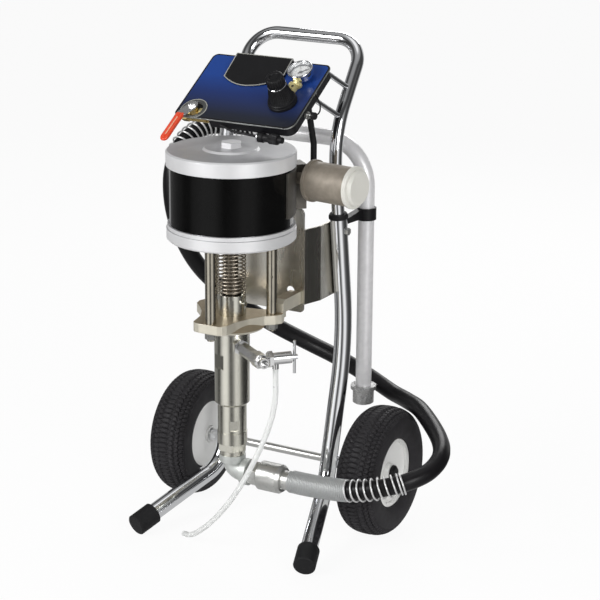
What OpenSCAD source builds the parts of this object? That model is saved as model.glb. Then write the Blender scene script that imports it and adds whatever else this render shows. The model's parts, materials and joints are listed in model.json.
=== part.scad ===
// Airless paint sprayer: an air driven piston pump on a two wheel cart.
// X runs to the operator's right, Y to the back, Z up. The floor is Z = 0.
// Places are first given in the cart frame, whose Y = 0 is the wheel axle.

/* [Cart] */
// Outer diameter of the side tubes
side_tube_d = 34; // [30:1:38]
// Wall of the side tubes
side_tube_wall = 2; // [1.6:0.1:2.4]
// Distance between the two uprights, centre to centre
upright_gap = 244; // [236:1:252]
// Distance between the tips of the two feet
foot_gap = 386; // [340:2:420]
// How far the foot tips stand in front of the axle
foot_reach = 266; // [240:2:290]
// Height of the sockets at the top of the side tubes
socket_h = 640; // [625:1:660]
// Outer diameter of the rubber foot caps
foot_cap_d = 44; // [42:1:50]
// Length of the rubber foot caps
foot_cap_len = 48; // [36:1:60]
// Outer diameter of the handle tube
handle_d = 25; // [23:0.5:27]
// Wall of the handle tube
handle_wall = 1.8; // [1.4:0.1:2.2]
// Height of the handle's top bar, at its centre
handle_h = 971; // [955:1:1000]
// How far the handle's top bar lies behind the axle
handle_back = 85; // [70:1:95]
// How deep the handle legs sit in the side tubes
handle_depth = 58; // [45:1:70]
// Diameter of the frame bolts
bolt_d = 8; // [6:0.5:9]

/* [Wheels] */
// Outer diameter of the tyres
tyre_d = 260; // [250:2:270]
// Width of the tyres
tyre_w = 85; // [78:1:90]
// Diameter over the rim flanges
rim_d = 138; // [130:1:146]
// Distance between the two tyre centre planes
track = 434; // [428:1:444]
// Diameter of the axle
axle_d = 16; // [14:0.5:18]
// Outer diameter of the wheel hubs
hub_d = 36; // [34:1:40]

/* [Air motor] */
// How far the pump line stands in front of the axle
pump_ahead = 210; // [206:1:216]
// Height of the underside of the motor
motor_z = 630; // [626:1:636]
// Length of the motor cylinder between its caps
cylinder_len = 111; // [108:1:114]
// Outer diameter of the motor cylinder
cylinder_d = 233; // [228:1:236]
// Wall of the motor cylinder
cylinder_wall = 4.5; // [3:0.5:6]
// Outer diameter of the motor caps
cap_d = 245; // [242:1:247]
// Thickness of the upper motor cap
top_cap_t = 29; // [27:1:31]
// Thickness of the lower motor cap
bottom_cap_t = 30; // [28:1:31]
// Stroke of the motor and pump
stroke = 76; // [60:1:78]
// Diameter of the motor's piston rod
motor_rod_d = 25; // [22:1:28]
// Outer diameter of the exhaust muffler
muffler_d = 74; // [68:1:78]
// Length of the muffler drum
muffler_len = 86; // [80:1:100]

/* [Pump] */
// Height of the underside of the adapter plate
plate_z = 455; // [450:1:460]
// Thickness of the adapter plate
plate_t = 25; // [20:1:28]
// Radius of the circle that the tie rods stand on
tie_circle_r = 76; // [72:1:80]
// Diameter of the tie rods
tie_rod_d = 21; // [18:1:24]
// Outer diameter of the upper pump housing
housing_d = 68; // [66:1:72]
// Length of the upper pump housing below its lock ring
housing_len = 146; // [140:1:150]
// Outer diameter of the lower pump cylinder
pump_d = 56; // [54:1:58]
// Bore of the pump cylinder
pump_bore = 40; // [36:1:42]
// Length of pump cylinder that shows below the housing
pump_show = 56; // [50:1:60]
// Diameter of the displacement rod
rod_d = 22; // [18:1:24]
// Outer diameter of the packing nut
wet_cup_d = 54; // [50:1:58]
// Height of the packing nut above the adapter plate
wet_cup_h = 40; // [36:1:42]
// Diameter of the inlet check ball
ball_d = 22; // [20:1:23]

/* [Control panel] */
// Width of the control panel
panel_w = 258; // [240:1:266]
// Depth of the control panel along its slope
panel_len = 179; // [170:1:190]
// Slope of the control panel
panel_tilt = 32; // [29:1:35]
// Thickness of the panel sheet
panel_t = 2.5; // [2:0.5:4]
// Depth of the tray below the panel
tray_depth = 20; // [16:1:24]
// Height of the panel's lower edge
panel_z = 848; // [844:1:860]
// Diameter of the pressure gauge
gauge_d = 48; // [42:1:52]
// Diameter of the regulator bonnet at its base
bonnet_d = 56; // [50:1:60]
// Diameter of the regulator knob
knob_d = 35; // [31:1:38]
// Reach of the ball valve's lever
lever_len = 97; // [80:1:110]

/* [Suction] */
// Outer diameter of the suction tube
suction_d = 32; // [29:1:35]
// Wall of the suction tube
suction_wall = 1.6; // [1.2:0.1:2.2]
// Outer diameter of the suction hose
hose_d = 34; // [32:0.5:35]
// Outer diameter of the drain tube
drain_d = 10.5; // [9:0.5:12]

/* [Fits] */
// Running clearance of shafts and rods, on the radius
run_gap = 0.06; // [0.03:0.01:0.1]
// Gap between pieces that move past each other
side_gap = 0.4; // [0.3:0.1:0.8]
// Clearance of a piece seated in another, on the radius
seat_gap = 0.05; // [0.02:0.01:0.1]

/* [Hidden] */
$fn = 64;
over = 1; // how far a cutting solid runs past a face

// ---- vectors ----
function unit(v) = v / norm(v);
function mirror_x(p) = [for (q = p) [-q.x, q.y, q.z]];
function turn_at(p, i) = acos(unit(p[i] - p[i - 1]) * unit(p[i + 1] - p[i]));
function trim_at(p, r, i) = i <= 0 || i >= len(p) - 1 ? 0 : r[i] * tan(turn_at(p, i) / 2);
function at_z(a, b, z) = a + (b - a) * (z - a.z) / (b.z - a.z);

// ---- cart places, in the cart frame ----
foot_slope_run = foot_reach - 52;
upright_x = upright_gap / 2;
cap_chamfer = 2;
cap_wall_end = 4;
foot_knee_z = 96;
foot_trim = 1.5;
leg_dir_x = (foot_gap - upright_gap) / 2;
leg_slope = atan2(foot_knee_z - 19, norm([leg_dir_x, foot_slope_run]));
foot_tip_z = foot_cap_d / 2 * cos(leg_slope) - foot_trim;
foot_tip = [foot_gap / 2, -foot_reach, foot_tip_z];
foot_knee = [upright_x, -52, foot_knee_z];
upright_bow = [upright_x, 22, 391];
socket_top = [upright_x, -12, socket_h];
leg_dir = unit(foot_tip - foot_knee);
tube_end = foot_tip - leg_dir * cap_wall_end;
side_route = [tube_end, foot_knee, upright_bow, socket_top];
side_bends = [0, 70, 500, 0];
handle_low = at_z(upright_bow, socket_top, socket_h - handle_depth);
handle_knee = at_z(upright_bow, socket_top, 803);
handle_corner = [upright_x, handle_back, handle_h];
handle_route = concat([handle_low, handle_knee, handle_corner],
    mirror_x([handle_corner, handle_knee, handle_low]));
handle_bends = [0, 180, 55, 55, 180, 0];
front_y = pump_ahead + cap_d / 2;
axle_y = (front_y - tyre_d / 2) / 2;
axle_z = tyre_d / 2;
wheel_x = track / 2;
hub_in = wheel_x - 39;
hub_out = wheel_x + 27;
boss_d = axle_d + 8;
axle_cap_t = 8;
socket_bolt_z = socket_h - 26;
bracket_bolt_z = [512, 597];

module cart() translate([0, axle_y, 0]) children();
module pump_line() cart() translate([0, -pump_ahead, 0]) children();
module both_sides() for (s = [0, 1]) mirror([s, 0, 0]) children();

// Turns Z onto dir, with X as near to side as it can be, at a point
module point_along(from, dir, side = [1, 0, 0]) {
    z = unit(dir);
    y = unit(cross(z, side));
    x = cross(y, z);
    multmatrix([[x.x, y.x, z.x, from.x], [x.y, y.y, z.y, from.y], [x.z, y.z, z.z, from.z]])
        children();
}

// Turns v about the unit axis n
function spun(v, n, a) = v * cos(a) + cross(n, v) * sin(a) + n * (n * v) * (1 - cos(a));
// One side direction for each straight of a route, carried round its bends
function sides(p, e, i = 0, done = []) = i > len(p) - 2 ? done :
    let (u = unit(p[i + 1] - p[i]), q = i == 0 ? unit(e - (e * u) * u) :
    spun(done[i - 1], unit(cross(p[i] - p[i - 1], u)), turn_at(p, i))) sides(p, e, i + 1, concat(done, [q]));
// A round tube along the route p, bent with radius r[i] at p[i], run on at both ends.
// Straights and bends meet face to face, and a thin sleeve inside the wall welds each joint
sleeve = 0.45;
joint_gap = 0.002;
module tube_piece(d, wall, h) difference() {
    cylinder(d = d, h = h);
    if (wall < d / 2) translate([0, 0, -over]) cylinder(r = d / 2 - wall, h = h + 2 * over);
}
module pipe(p, r, d, wall, run_on = 0) {
    e = sides(p, abs(unit(p[1] - p[0]).x) > 0.9 ? [0, 1, 0] : [1, 0, 0]);
    last = len(p) - 2;
    for (i = [0:last]) {
        u = unit(p[i + 1] - p[i]);
        a = p[i] + u * (i == 0 ? -run_on : trim_at(p, r, i) + joint_gap);
        b = p[i + 1] - u * (i == last ? -run_on : trim_at(p, r, i + 1) + joint_gap);
        v = cross(u, e[i]);
        low = i == 0 ? 1 : -over;
        multmatrix([[e[i].x, v.x, u.x, a.x], [e[i].y, v.y, u.y, a.y], [e[i].z, v.z, u.z, a.z]]) {
            tube_piece(d, wall, norm(b - a));
            if (last > 0) translate([0, 0, low])
                tube_piece(d - 2 * sleeve, wall < d / 2 ? wall - 2 * sleeve : d,
                    norm(b - a) - low + (i == last ? -1 : over));
        }
    }
    for (i = [1:1:last]) {
        u = unit(p[i] - p[i - 1]);
        w = unit(p[i + 1] - p[i]);
        n = unit(cross(u, w));
        m = cross(n, u);
        c = p[i] - u * trim_at(p, r, i) + m * r[i];
        multmatrix([[-m.x, u.x, n.x, c.x], [-m.y, u.y, n.y, c.y], [-m.z, u.z, n.z, c.z]])
            rotate_extrude(angle = turn_at(p, i)) translate([r[i], 0])
            rotate(atan2(e[i - 1] * n, -(e[i - 1] * m))) difference() {
                circle(d = d);
                if (wall < d / 2) circle(r = d / 2 - wall);
            }
    }
}
module bar(p, r, d, run_on = 0) pipe(p, r, d, d, run_on);
module ring(r_out, r_in, h) difference() {
    cylinder(r = r_out, h = h);
    translate([0, 0, -over]) cylinder(r = r_in, h = h + 2 * over);
}
module hex(flats, h) cylinder(d = flats / cos(30), h = h, $fn = 6);
// A hexagon nut or head with a round bore
module hex_ring(flats, r_in, h) difference() {
    hex(flats, h);
    translate([0, 0, -over]) cylinder(r = r_in, h = h + 2 * over, $fn = 48);
}
// A sheet of thickness t that follows the open outline q, as a mitred strip
function side_of(q, i) = let (a = q[max(i - 1, 0)], b = q[min(i + 1, len(q) - 1)],
    u = i == 0 ? unit(q[1] - q[0]) : unit(q[i] - a), w = i == len(q) - 1 ? u : unit(b - q[i]),
    m = unit([-u.y - w.y, u.x + w.x])) m / (m * [-u.y, u.x]);
function strip(q, t) = concat([for (i = [0:len(q) - 1]) q[i] + side_of(q, i) * t / 2],
    [for (i = [len(q) - 1:-1:0]) q[i] - side_of(q, i) * t / 2]);

// ---- cords: one swept solid along a smooth curve through hand chosen points ----
function curve_at(p, i, t) = let (a = i == 0 ? 2 * p[0] - p[1] : p[i - 1], b = p[i], c = p[i + 1],
    d = i + 2 > len(p) - 1 ? 2 * p[i + 1] - p[i] : p[i + 2])
    0.5 * (2 * b + (c - a) * t + (2 * a - 5 * b + 4 * c - d) * t * t
    + (3 * b - a - 3 * c + d) * t * t * t);
function curve(p, steps) = concat([for (i = [0:len(p) - 2], s = [0:steps - 1])
    curve_at(p, i, s / steps)], [p[len(p) - 1]]);
function tangents(c) = [for (i = [0:len(c) - 1])
    unit(c[min(i + 1, len(c) - 1)] - c[max(i - 1, 0)])];
function carried(t, n, i = 0, done = []) = i == len(t) ? done :
    let (m = unit(n - (n * t[i]) * t[i])) carried(t, m, i + 1, concat(done, [m]));
module sweep(c, d, sides, first = [0, 0, 1]) {
    t = tangents(c);
    n = carried(t, first);
    polyhedron(
        points = [for (i = [0:len(c) - 1], k = [0:sides - 1])
            c[i] + d / 2 * (n[i] * cos(360 * k / sides) + cross(t[i], n[i]) * sin(360 * k / sides))],
        faces = concat([[for (k = [0:sides - 1]) k]],
            [for (i = [0:len(c) - 2], k = [0:sides - 1]) [i * sides + k, (i + 1) * sides + k,
                (i + 1) * sides + (k + 1) % sides, i * sides + (k + 1) % sides]],
            [[for (k = [sides - 1:-1:0]) (len(c) - 1) * sides + k]]));
}

// ---- side tubes, feet and handle ----
module bolt_hole(p, len = 2 * side_tube_d) translate([p.x - side_tube_d, p.y, p.z])
    rotate([0, 90, 0]) cylinder(d = bolt_d + 2 * seat_gap, h = len);
function on_upright(z) = at_z(upright_bow, socket_top, z);
lug_t = 8;
lug_half = boss_d / 2 - 2;
// The tube's rear face at height z, sunk a little into its wall
function lug_y(z) = at_z(foot_knee, upright_bow, z).y + side_tube_d / 2 - 1.2;
module side_tube() color("gainsboro") cart() difference() {
    union() {
        pipe(side_route, side_bends, side_tube_d, side_tube_wall);
        translate([upright_x - boss_d / 2, 0, axle_z]) rotate([0, 90, 0])
            cylinder(d = boss_d, h = hub_in - side_gap - upright_x + boss_d / 2);
        translate([upright_x - lug_t / 2, 0, 0]) rotate([90, 0, 90]) linear_extrude(lug_t)
            polygon([[lug_y(axle_z - lug_half), axle_z - lug_half], [0, axle_z - lug_half],
                [0, axle_z + lug_half], [lug_y(axle_z + lug_half), axle_z + lug_half]]);
    }
    translate([0, 0, axle_z]) rotate([0, 90, 0])
        cylinder(d = axle_d + 2 * seat_gap, h = track);
    bolt_hole(on_upright(socket_bolt_z));
    for (z = bracket_bolt_z) bolt_hole(on_upright(z), side_tube_d);
}
module right_side_tube() side_tube();
module left_side_tube() mirror([1, 0, 0]) side_tube();
module foot_caps() color("black") cart() both_sides() difference() {
    r = foot_cap_d / 2;
    point_along(foot_tip, -leg_dir) rotate_extrude() polygon([[0, 0], [r - cap_chamfer, 0],
        [r, cap_chamfer], [r, foot_cap_len - 1], [r - 1, foot_cap_len],
        [side_tube_d / 2, foot_cap_len], [side_tube_d / 2, cap_wall_end], [0, cap_wall_end]]);
    translate([0, -2 * foot_reach, -foot_cap_d]) cube([foot_gap, 2 * foot_reach, foot_cap_d]);
}
module handle() color("gainsboro") cart() difference() {
    pipe(handle_route, handle_bends, handle_d, handle_wall);
    both_sides() bolt_hole(on_upright(socket_bolt_z));
}
grommet_depth = 16;
grommet_lip = 9;
module handle_grommets() color("black") cart() both_sides()
    point_along(socket_top, upright_bow - socket_top) difference() {
        union() {
            translate([0, 0, -grommet_lip]) cylinder(d1 = side_tube_d, d2 = side_tube_d + 4, h = 4);
            translate([0, 0, 4 - grommet_lip]) cylinder(d = side_tube_d + 4, h = grommet_lip - 4);
            cylinder(d = side_tube_d - 2 * side_tube_wall - 2 * seat_gap, h = grommet_depth);
        }
        translate([0, 0, -2 * grommet_lip])
            cylinder(d = handle_d + 2 * seat_gap, h = 2 * grommet_lip + grommet_depth + over);
    }

// ---- bolts ----
head_t = 5.3;
nut_t = 6.5;
head_flats = 13;
// A screw whose head sits at x = face_x and whose shank runs outwards, or inwards for way = -1
module cross_screw(p, face_x, len, way = 1) translate([face_x, p.y, p.z]) rotate([0, 90 * way, 0]) {
    translate([0, 0, -head_t]) hex(head_flats, head_t);
    translate([0, 0, -1]) cylinder(d = bolt_d, h = len + 1);
}
bracket_t = 4;
bracket_y = -90;
bracket_corner_x = 91;
bracket_bend_y = -50;
bracket_end_y = 22;
bracket_z = [480, 630];
bracket_low = 463;
tab_up = 42;
tab_w = 24;
flange_x = upright_x - side_tube_d / 2 - side_gap / 2 - bracket_t / 2;
arm_bolt_x = 72;
arm_bolt_z = 492;
module frame_bolts() color("silver") {
    pump_line() at_tie_rods() translate([0, 0, lobe_z - 12]) hex_ring(20, stud_r, 12);
    cart() both_sides() {
        cross_screw(on_upright(socket_bolt_z), upright_x + side_tube_d / 2, side_tube_d - 1, -1);
        for (z = bracket_bolt_z) cross_screw(on_upright(z), flange_x - bracket_t / 2, 8);
        translate([arm_bolt_x, bracket_y + bracket_t / 2, arm_bolt_z]) rotate([-90, 0, 0]) {
            hex(head_flats, head_t);
            translate([0, 0, -20]) cylinder(d = bolt_d, h = 21);
        }
    }
}

// ---- the stainless bracket that carries the pump ----
bracket_line = [[-flange_x, bracket_end_y], [-flange_x, bracket_bend_y],
    [-bracket_corner_x, bracket_y], [bracket_corner_x, bracket_y], [flange_x, bracket_bend_y],
    [flange_x, bracket_end_y]];
bracket_hole = [61, 504];
// The outline of an ear with a rounded end, standing on y = 0
function ear(w, h) = concat([[0, 0], [w, 0]], [for (a = [0:15:180]) [w / 2 * (1 + cos(a)),
    h - w / 2 + w / 2 * sin(a)]]);
module pump_bracket() color("lightgray") cart() difference() {
    union() {
        translate([0, 0, bracket_z[0]]) linear_extrude(bracket_z[1] - bracket_z[0])
            polygon(strip(bracket_line, bracket_t));
        both_sides() translate([bracket_corner_x - tab_w - 1, bracket_y + bracket_t / 2,
            bracket_z[1] - 1]) rotate([90, 0, 0]) linear_extrude(bracket_t) polygon(ear(tab_w, tab_up));
        translate([1 - bracket_corner_x, bracket_y + bracket_t / 2, bracket_low]) rotate([90, 0, 0])
            linear_extrude(bracket_t) polygon(rounded(2 * bracket_corner_x - 2,
            bracket_z[0] - bracket_low + 9, 8));
    }
    translate([bracket_hole[0], bracket_y, bracket_hole[1]]) rotate([90, 0, 0])
        cylinder(r = 9, h = 2 * bracket_t, center = true);
    both_sides() {
        translate([arm_bolt_x, bracket_y, arm_bolt_z]) rotate([90, 0, 0])
            cylinder(d = bolt_d + 2 * seat_gap, h = 2 * bracket_t, center = true);
        for (z = bracket_bolt_z) bolt_hole(on_upright(z) - [side_tube_d, 0, 0]);
    }
}

// ---- axle and wheels ----
module along_x() rotate([0, 90, 0]) children();
module at_axle(x = 0) cart() translate([x, 0, axle_z]) along_x() children();
axle_half = hub_out + side_gap + axle_cap_t - 2;
bearing_r = hub_d / 2 - 4;
bearing_len = 14;
rim_half = 30;
seat_half = 26.8;
bead_r = rim_d / 2 - 3;
module axle() color("silver") at_axle(-axle_half) cylinder(d = axle_d, h = 2 * axle_half);
module axle_caps() color("black") both_sides() at_axle(hub_out + side_gap)
    rotate_extrude() polygon([[axle_d / 2, 0], [15, 0], [15, 4], [11, axle_cap_t],
        [0, axle_cap_t], [0, axle_cap_t - 2], [axle_d / 2, axle_cap_t - 2]]);
// An outline that bulges more than an ellipse, with half axes a and b
function bulge(a, b, n) = [for (i = [0:n - 1]) let (t = 360 * i / n)
    [a * sign(cos(t)) * pow(abs(cos(t)), 0.75), b * sign(sin(t)) * pow(abs(sin(t)), 0.75)]];
tyre_low = rim_d / 2 - 7;
tyre_mid = (tyre_d / 2 + tyre_low) / 2;
tyre_half = (tyre_d / 2 - tyre_low) / 2;
tyre_wall = 8;
module tyre(x) color("dimgray") at_axle(x) rotate_extrude() difference() {
    translate([tyre_mid, 0]) polygon(bulge(tyre_half, tyre_w / 2, 40));
    translate([tyre_mid, 0]) polygon(bulge(tyre_half - tyre_wall, tyre_w / 2 - tyre_wall, 32));
    translate([0, -15]) square([bead_r + 8, 30]);
    translate([0, -tyre_w]) square([bead_r, 2 * tyre_w]);
    for (y = [-tyre_w - seat_half, seat_half])
        translate([0, y]) square([rim_d / 2 + side_gap, tyre_w]);
}
disc_t = 3;
module rim_section() {
    translate([bearing_r, hub_in - wheel_x]) square([hub_d / 2 - bearing_r, hub_out - hub_in]);
    translate([bead_r - 3.5, -rim_half]) square([3.5, 2 * rim_half]);
    for (y = [-rim_half, seat_half])
        translate([bead_r - 3.5, y]) square([rim_d / 2 - bead_r + 3.5, rim_half - seat_half]);
    for (d = [[hub_in - wheel_x + 4, -rim_half], [14, 20]])
        polygon([[hub_d / 2 - 1, d[0]], [bead_r - 2, d[1]], [bead_r - 2, d[1] + disc_t],
            [hub_d / 2 - 1, d[0] + disc_t]]);
}
module rim(x) color("white") at_axle(x) difference() {
    rotate_extrude() rim_section();
    rotate([0, 0, 40]) translate([44, 0, 0]) cylinder(r = 5, h = rim_half);
}
module bearings() {
    for (x = [hub_in, hub_out - bearing_len])
        at_axle(x) ring(bearing_r, axle_d / 2 + run_gap, bearing_len);
}
module right_tyre() tyre(wheel_x);
module right_rim() rim(wheel_x);
module right_bearings() color("gray") bearings();
module left_tyre() mirror([1, 0, 0]) tyre(wheel_x);
module left_rim() mirror([1, 0, 0]) rim(wheel_x);
module left_bearings() color("gray") mirror([1, 0, 0]) bearings();

// ---- air motor, about the pump line ----
cylinder_z = motor_z + bottom_cap_t;
top_cap_z = cylinder_z + cylinder_len;
bore_r = cylinder_d / 2 - cylinder_wall;
floor_z = cylinder_z - 10;
ceiling_z = top_cap_z + 9;
piston_gap = 3;
piston_t = ceiling_z - floor_z - stroke - 2 * piston_gap;
piston_z = floor_z + piston_gap;
wet_top_z = plate_z + plate_t + wet_cup_h;
coupler_gap = 2;
coupler_z = wet_top_z + coupler_gap;
coupler_len = motor_z - wet_top_z - stroke - 2 * coupler_gap;
coupler_grip = 12;
edge = 3;
plug_flats = 36;
plug_h = 10;
hub_cap_r = 50;
hub_cap_h = 4;
module motor_top_cap() color("silver") pump_line() translate([0, 0, top_cap_z]) {
    r = cap_d / 2;
    rotate_extrude() polygon([[0, 9], [bore_r, 9], [bore_r, 0], [r - 1, 0], [r, 1],
        [r, top_cap_t - edge], [r - edge, top_cap_t], [hub_cap_r + hub_cap_h, top_cap_t],
        [hub_cap_r, top_cap_t + hub_cap_h], [0, top_cap_t + hub_cap_h]]);
    translate([0, 0, top_cap_t + hub_cap_h]) hex(plug_flats, plug_h);
}
module motor_cylinder() color([0.1, 0.1, 0.1]) pump_line() translate([0, 0, cylinder_z])
    ring(cylinder_d / 2, bore_r, cylinder_len);
stud_r = 7;
module at_tie_rods() for (a = [-90, 30, 150]) rotate([0, 0, a])
    translate([tie_circle_r, 0, 0]) children();
stud_up = 15;
module motor_bottom_cap() color("silver") pump_line() difference() {
    r = cap_d / 2;
    translate([0, 0, motor_z]) rotate_extrude() polygon([[0, 0], [r - edge, 0], [r, edge],
        [r, bottom_cap_t - 8], [r - 2, bottom_cap_t - 7], [r - 2, bottom_cap_t],
        [bore_r, bottom_cap_t], [bore_r, bottom_cap_t - 10], [0, bottom_cap_t - 10]]);
    translate([0, 0, motor_z - over]) cylinder(d = motor_rod_d + 2 * run_gap, h = bottom_cap_t);
    at_tie_rods() translate([0, 0, motor_z - over]) cylinder(r = stud_r + seat_gap, h = stud_up + over);
}
module motor_piston() color("darkgray") pump_line() translate([0, 0, piston_z]) difference() {
    cylinder(r = bore_r - 1.2 * run_gap, h = piston_t);
    translate([0, 0, -over]) cylinder(d = motor_rod_d, h = piston_t - 6 + over);
    for (z = [6, piston_t - 10]) translate([0, 0, z]) ring(bore_r + over, bore_r - 5, 4);
}
module motor_rod() color("silver") pump_line() translate([0, 0, coupler_z + coupler_len - coupler_grip])
    cylinder(d = motor_rod_d, h = piston_z + piston_t - 6 - coupler_z - coupler_len + coupler_grip);
module rod_coupler() color("dimgray") pump_line() translate([0, 0, coupler_z]) difference() {
    cylinder(r = 19, h = coupler_len);
    translate([0, 0, -over]) cylinder(d = rod_d, h = coupler_grip + over);
    translate([0, 0, coupler_len - coupler_grip]) cylinder(d = motor_rod_d, h = coupler_grip + over);
}

// ---- air valve and muffler, on the right of the motor ----
valve_skin_r = cap_d / 2 - 1;
valve_arc = [1, 56];
valve_z = [cylinder_z + 20, top_cap_z - 5];
valve_turn = 48;
spool_r = 9;
spool_travel = 12;
spool_len = 40;
valve_block_r = 142;
spool_at = 130;
muffler_turn = -7;
muffler_at = [134, -143, 743];
muffler_flange_t = 9;
end_cap_len = 15;
fitting_r = 11;
fitting_in = 32;
// A part of a ring, between the angles a[0] and a[1]
module sector(r_out, r_in, a, h) rotate([0, 0, a[0]]) rotate_extrude(angle = a[1] - a[0])
    translate([r_in, 0]) square([r_out - r_in, h]);
module at_muffler(x = 0) cart() translate(muffler_at) rotate([0, 0, muffler_turn])
    translate([x, 0, 0]) along_x() children();
module air_valve_housing() color([0.45, 0.42, 0.38]) difference() {
    pump_line() difference() {
        union() {
            translate([0, 0, valve_z[0]])
                sector(valve_skin_r, cylinder_d / 2 - over, valve_arc, valve_z[1] - valve_z[0]);
            rotate([0, 0, valve_turn]) translate([80, -20, valve_z[0]])
                cube([valve_block_r - 80, 40, valve_z[1] - valve_z[0]]);
        }
        translate([0, 0, valve_z[0] - over])
            cylinder(r = cylinder_d / 2 + seat_gap, h = valve_z[1] - valve_z[0] + 2 * over);
        rotate([0, 0, valve_turn]) translate([spool_at, 0, valve_z[0] + 6])
            cylinder(r = spool_r + run_gap, h = spool_len + spool_travel + 2);
    }
    at_muffler(-60) cylinder(r = fitting_r + seat_gap, h = 60);
}
module air_valve_spool() color("silver") pump_line() rotate([0, 0, valve_turn])
    translate([spool_at, 0, valve_z[0] + 7]) difference() {
        cylinder(r = spool_r, h = spool_len);
        for (z = [9, 25]) translate([0, 0, z]) ring(spool_r + over, spool_r - 3, 6);
    }
module muffler() color([0.6, 0.56, 0.5]) difference() {
    union() {
        at_muffler() rotate_extrude() polygon([[0, 0], [muffler_d / 2, 0], [muffler_d / 2 + 3, 3],
            [muffler_d / 2 + 3, muffler_flange_t], [0, muffler_flange_t]]);
        at_muffler() cylinder(d = muffler_d, h = muffler_flange_t + muffler_len);
        at_muffler(-fitting_in) cylinder(r = fitting_r, h = fitting_in + 1);
        at_muffler(-13) hex(30, 14);
    }
    at_muffler(muffler_flange_t) cylinder(d = muffler_d - 5, h = muffler_len + over);
    at_muffler(-fitting_in - over) cylinder(r = 8, h = fitting_in + muffler_flange_t + 2 * over);
}
module muffler_end_cap() color("gainsboro") at_muffler(muffler_flange_t + muffler_len) {
    r = muffler_d / 2;
    rotate_extrude() polygon([[0, end_cap_len - 4], [r - 8, end_cap_len - 4], [r - 8, 2], [r, 2],
        [r, 0], [r + 3, 0], [r + 3, 5], [r + 1, 7], [r - 3, 8], [r - 3, end_cap_len - 4],
        [r - 7, end_cap_len], [0, end_cap_len]]);
}

// ---- tie rods and adapter plate ----
plate_top = plate_z + plate_t;
neck_r = 25;
module tie_rods() color("silver") pump_line() at_tie_rods() difference() {
    union() {
        translate([0, 0, plate_top]) cylinder(d = tie_rod_d, h = motor_z - plate_top);
        translate([0, 0, lobe_z - 16]) cylinder(r = stud_r, h = motor_z + stud_up - 1 - lobe_z + 16);
    }
    translate([0, 0, (plate_top + motor_z) / 2]) rotate([90, 0, 0])
        cylinder(r = 2.5, h = tie_rod_d + 2, center = true);
}
arm_end_y = bracket_y - bracket_t / 2;
arm_x = [60, 84];
// The casting seen from above, with the pump line at the origin
plate_outline = [[-30, -86], [-20, -88], [20, -88], [29, -84], [34, -74], [37, -46], [47, -18],
    [64, 14], [80, 28], [87, 40], [84, 54], [74, 63], [56, 62], [34, 50], [0, 44], [-34, 50],
    [-56, 66], [-78, 68], [-92, 58], [-98, 40], [-94, 24], [-78, 8], [-58, -16], [-44, -42],
    [-38, -68], [-36, -80]];
hub_r = 66;
lobe_z = plate_z + 7;
arm_side = [[-160, plate_z + 15], [-149, plate_z + 15], [-149, plate_top], [arm_end_y, plate_top],
    [arm_end_y, plate_top + 25], [-152, plate_top + 25], [-160, plate_top + 17]];
module adapter_plate() color([0.78, 0.76, 0.68]) difference() {
    union() {
        pump_line() translate([0, 0, lobe_z]) linear_extrude(plate_top - lobe_z) polygon(plate_outline);
        pump_line() translate([0, 0, plate_z]) rotate_extrude() polygon([[0, 0], [hub_r - 5, 0],
            [hub_r, 5], [hub_r - 20, 16], [0, 16]]);
        cart() both_sides() translate([arm_x[0], 0, 0]) rotate([90, 0, 90])
            linear_extrude(arm_x[1] - arm_x[0]) polygon(arm_side);
    }
    pump_line() {
        translate([0, 0, plate_z - over]) cylinder(r = neck_r + seat_gap, h = plate_t + 2 * over);
        at_tie_rods() translate([0, 0, plate_z - over]) {
            cylinder(r = stud_r + seat_gap, h = plate_t + 2 * over);
            cylinder(r = 14, h = lobe_z - plate_z + over);
        }
    }
    cart() both_sides() translate([arm_bolt_x, arm_end_y, arm_bolt_z]) rotate([90, 0, 0])
        translate([0, 0, -over]) cylinder(d = bolt_d + 2 * seat_gap, h = 20 + over);
}

// ---- pump, about the pump line ----
lock_t = 10;
housing_top = plate_z - lock_t;
housing_z = housing_top - housing_len;
pump_z = housing_z - pump_show;
pump_top = housing_z + 86;
chamber_top = housing_top - 5;
outlet_z = 424;
outlet_turn = -35;
outlet_r = 9;
piston_rest = 7;
module wet_cup() color("silver") pump_line() translate([0, 0, plate_top]) difference() {
    union() {
        cylinder(d = wet_cup_d, h = wet_cup_h);
        rotate([0, 0, -10]) translate([wet_cup_d / 2 - 4, 0, wet_cup_h - 15]) along_x()
            cylinder(r = 4.5, h = 12);
    }
    translate([0, 0, -over]) cylinder(d = rod_d + 2 * run_gap, h = wet_cup_h);
    translate([0, 0, 12]) cylinder(r = 21, h = wet_cup_h);
    for (a = [0:60:300]) rotate([0, 0, a]) translate([wet_cup_d / 2 + 1, 0, wet_cup_h / 2 - 8])
        cube([5, 7, wet_cup_h], center = true);
}
guard_wire = 4;
guard_r = wet_cup_d / 2 - 1;
guard_turns = 15;
module spring_guard() color("silver") pump_line() {
    low = wet_top_z + guard_wire / 2;
    rise = motor_z - wet_top_z - guard_wire;
    sweep([for (i = [0:12 * guard_turns]) [guard_r * cos(30 * i), guard_r * sin(30 * i),
        low + rise * i / (12 * guard_turns)]], guard_wire, 6);
}
module lock_ring() color("gainsboro") pump_line() translate([0, 0, housing_top])
    ring(housing_d / 2 + 3, neck_r + seat_gap, lock_t);
module at_outlet(r = 0) pump_line() rotate([0, 0, outlet_turn]) translate([r, 0, outlet_z])
    along_x() children();
module wrench_flat(turn, r, z, w, h) rotate([0, 0, turn]) translate([r, -w / 2, z]) cube([20, w, h]);
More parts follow.
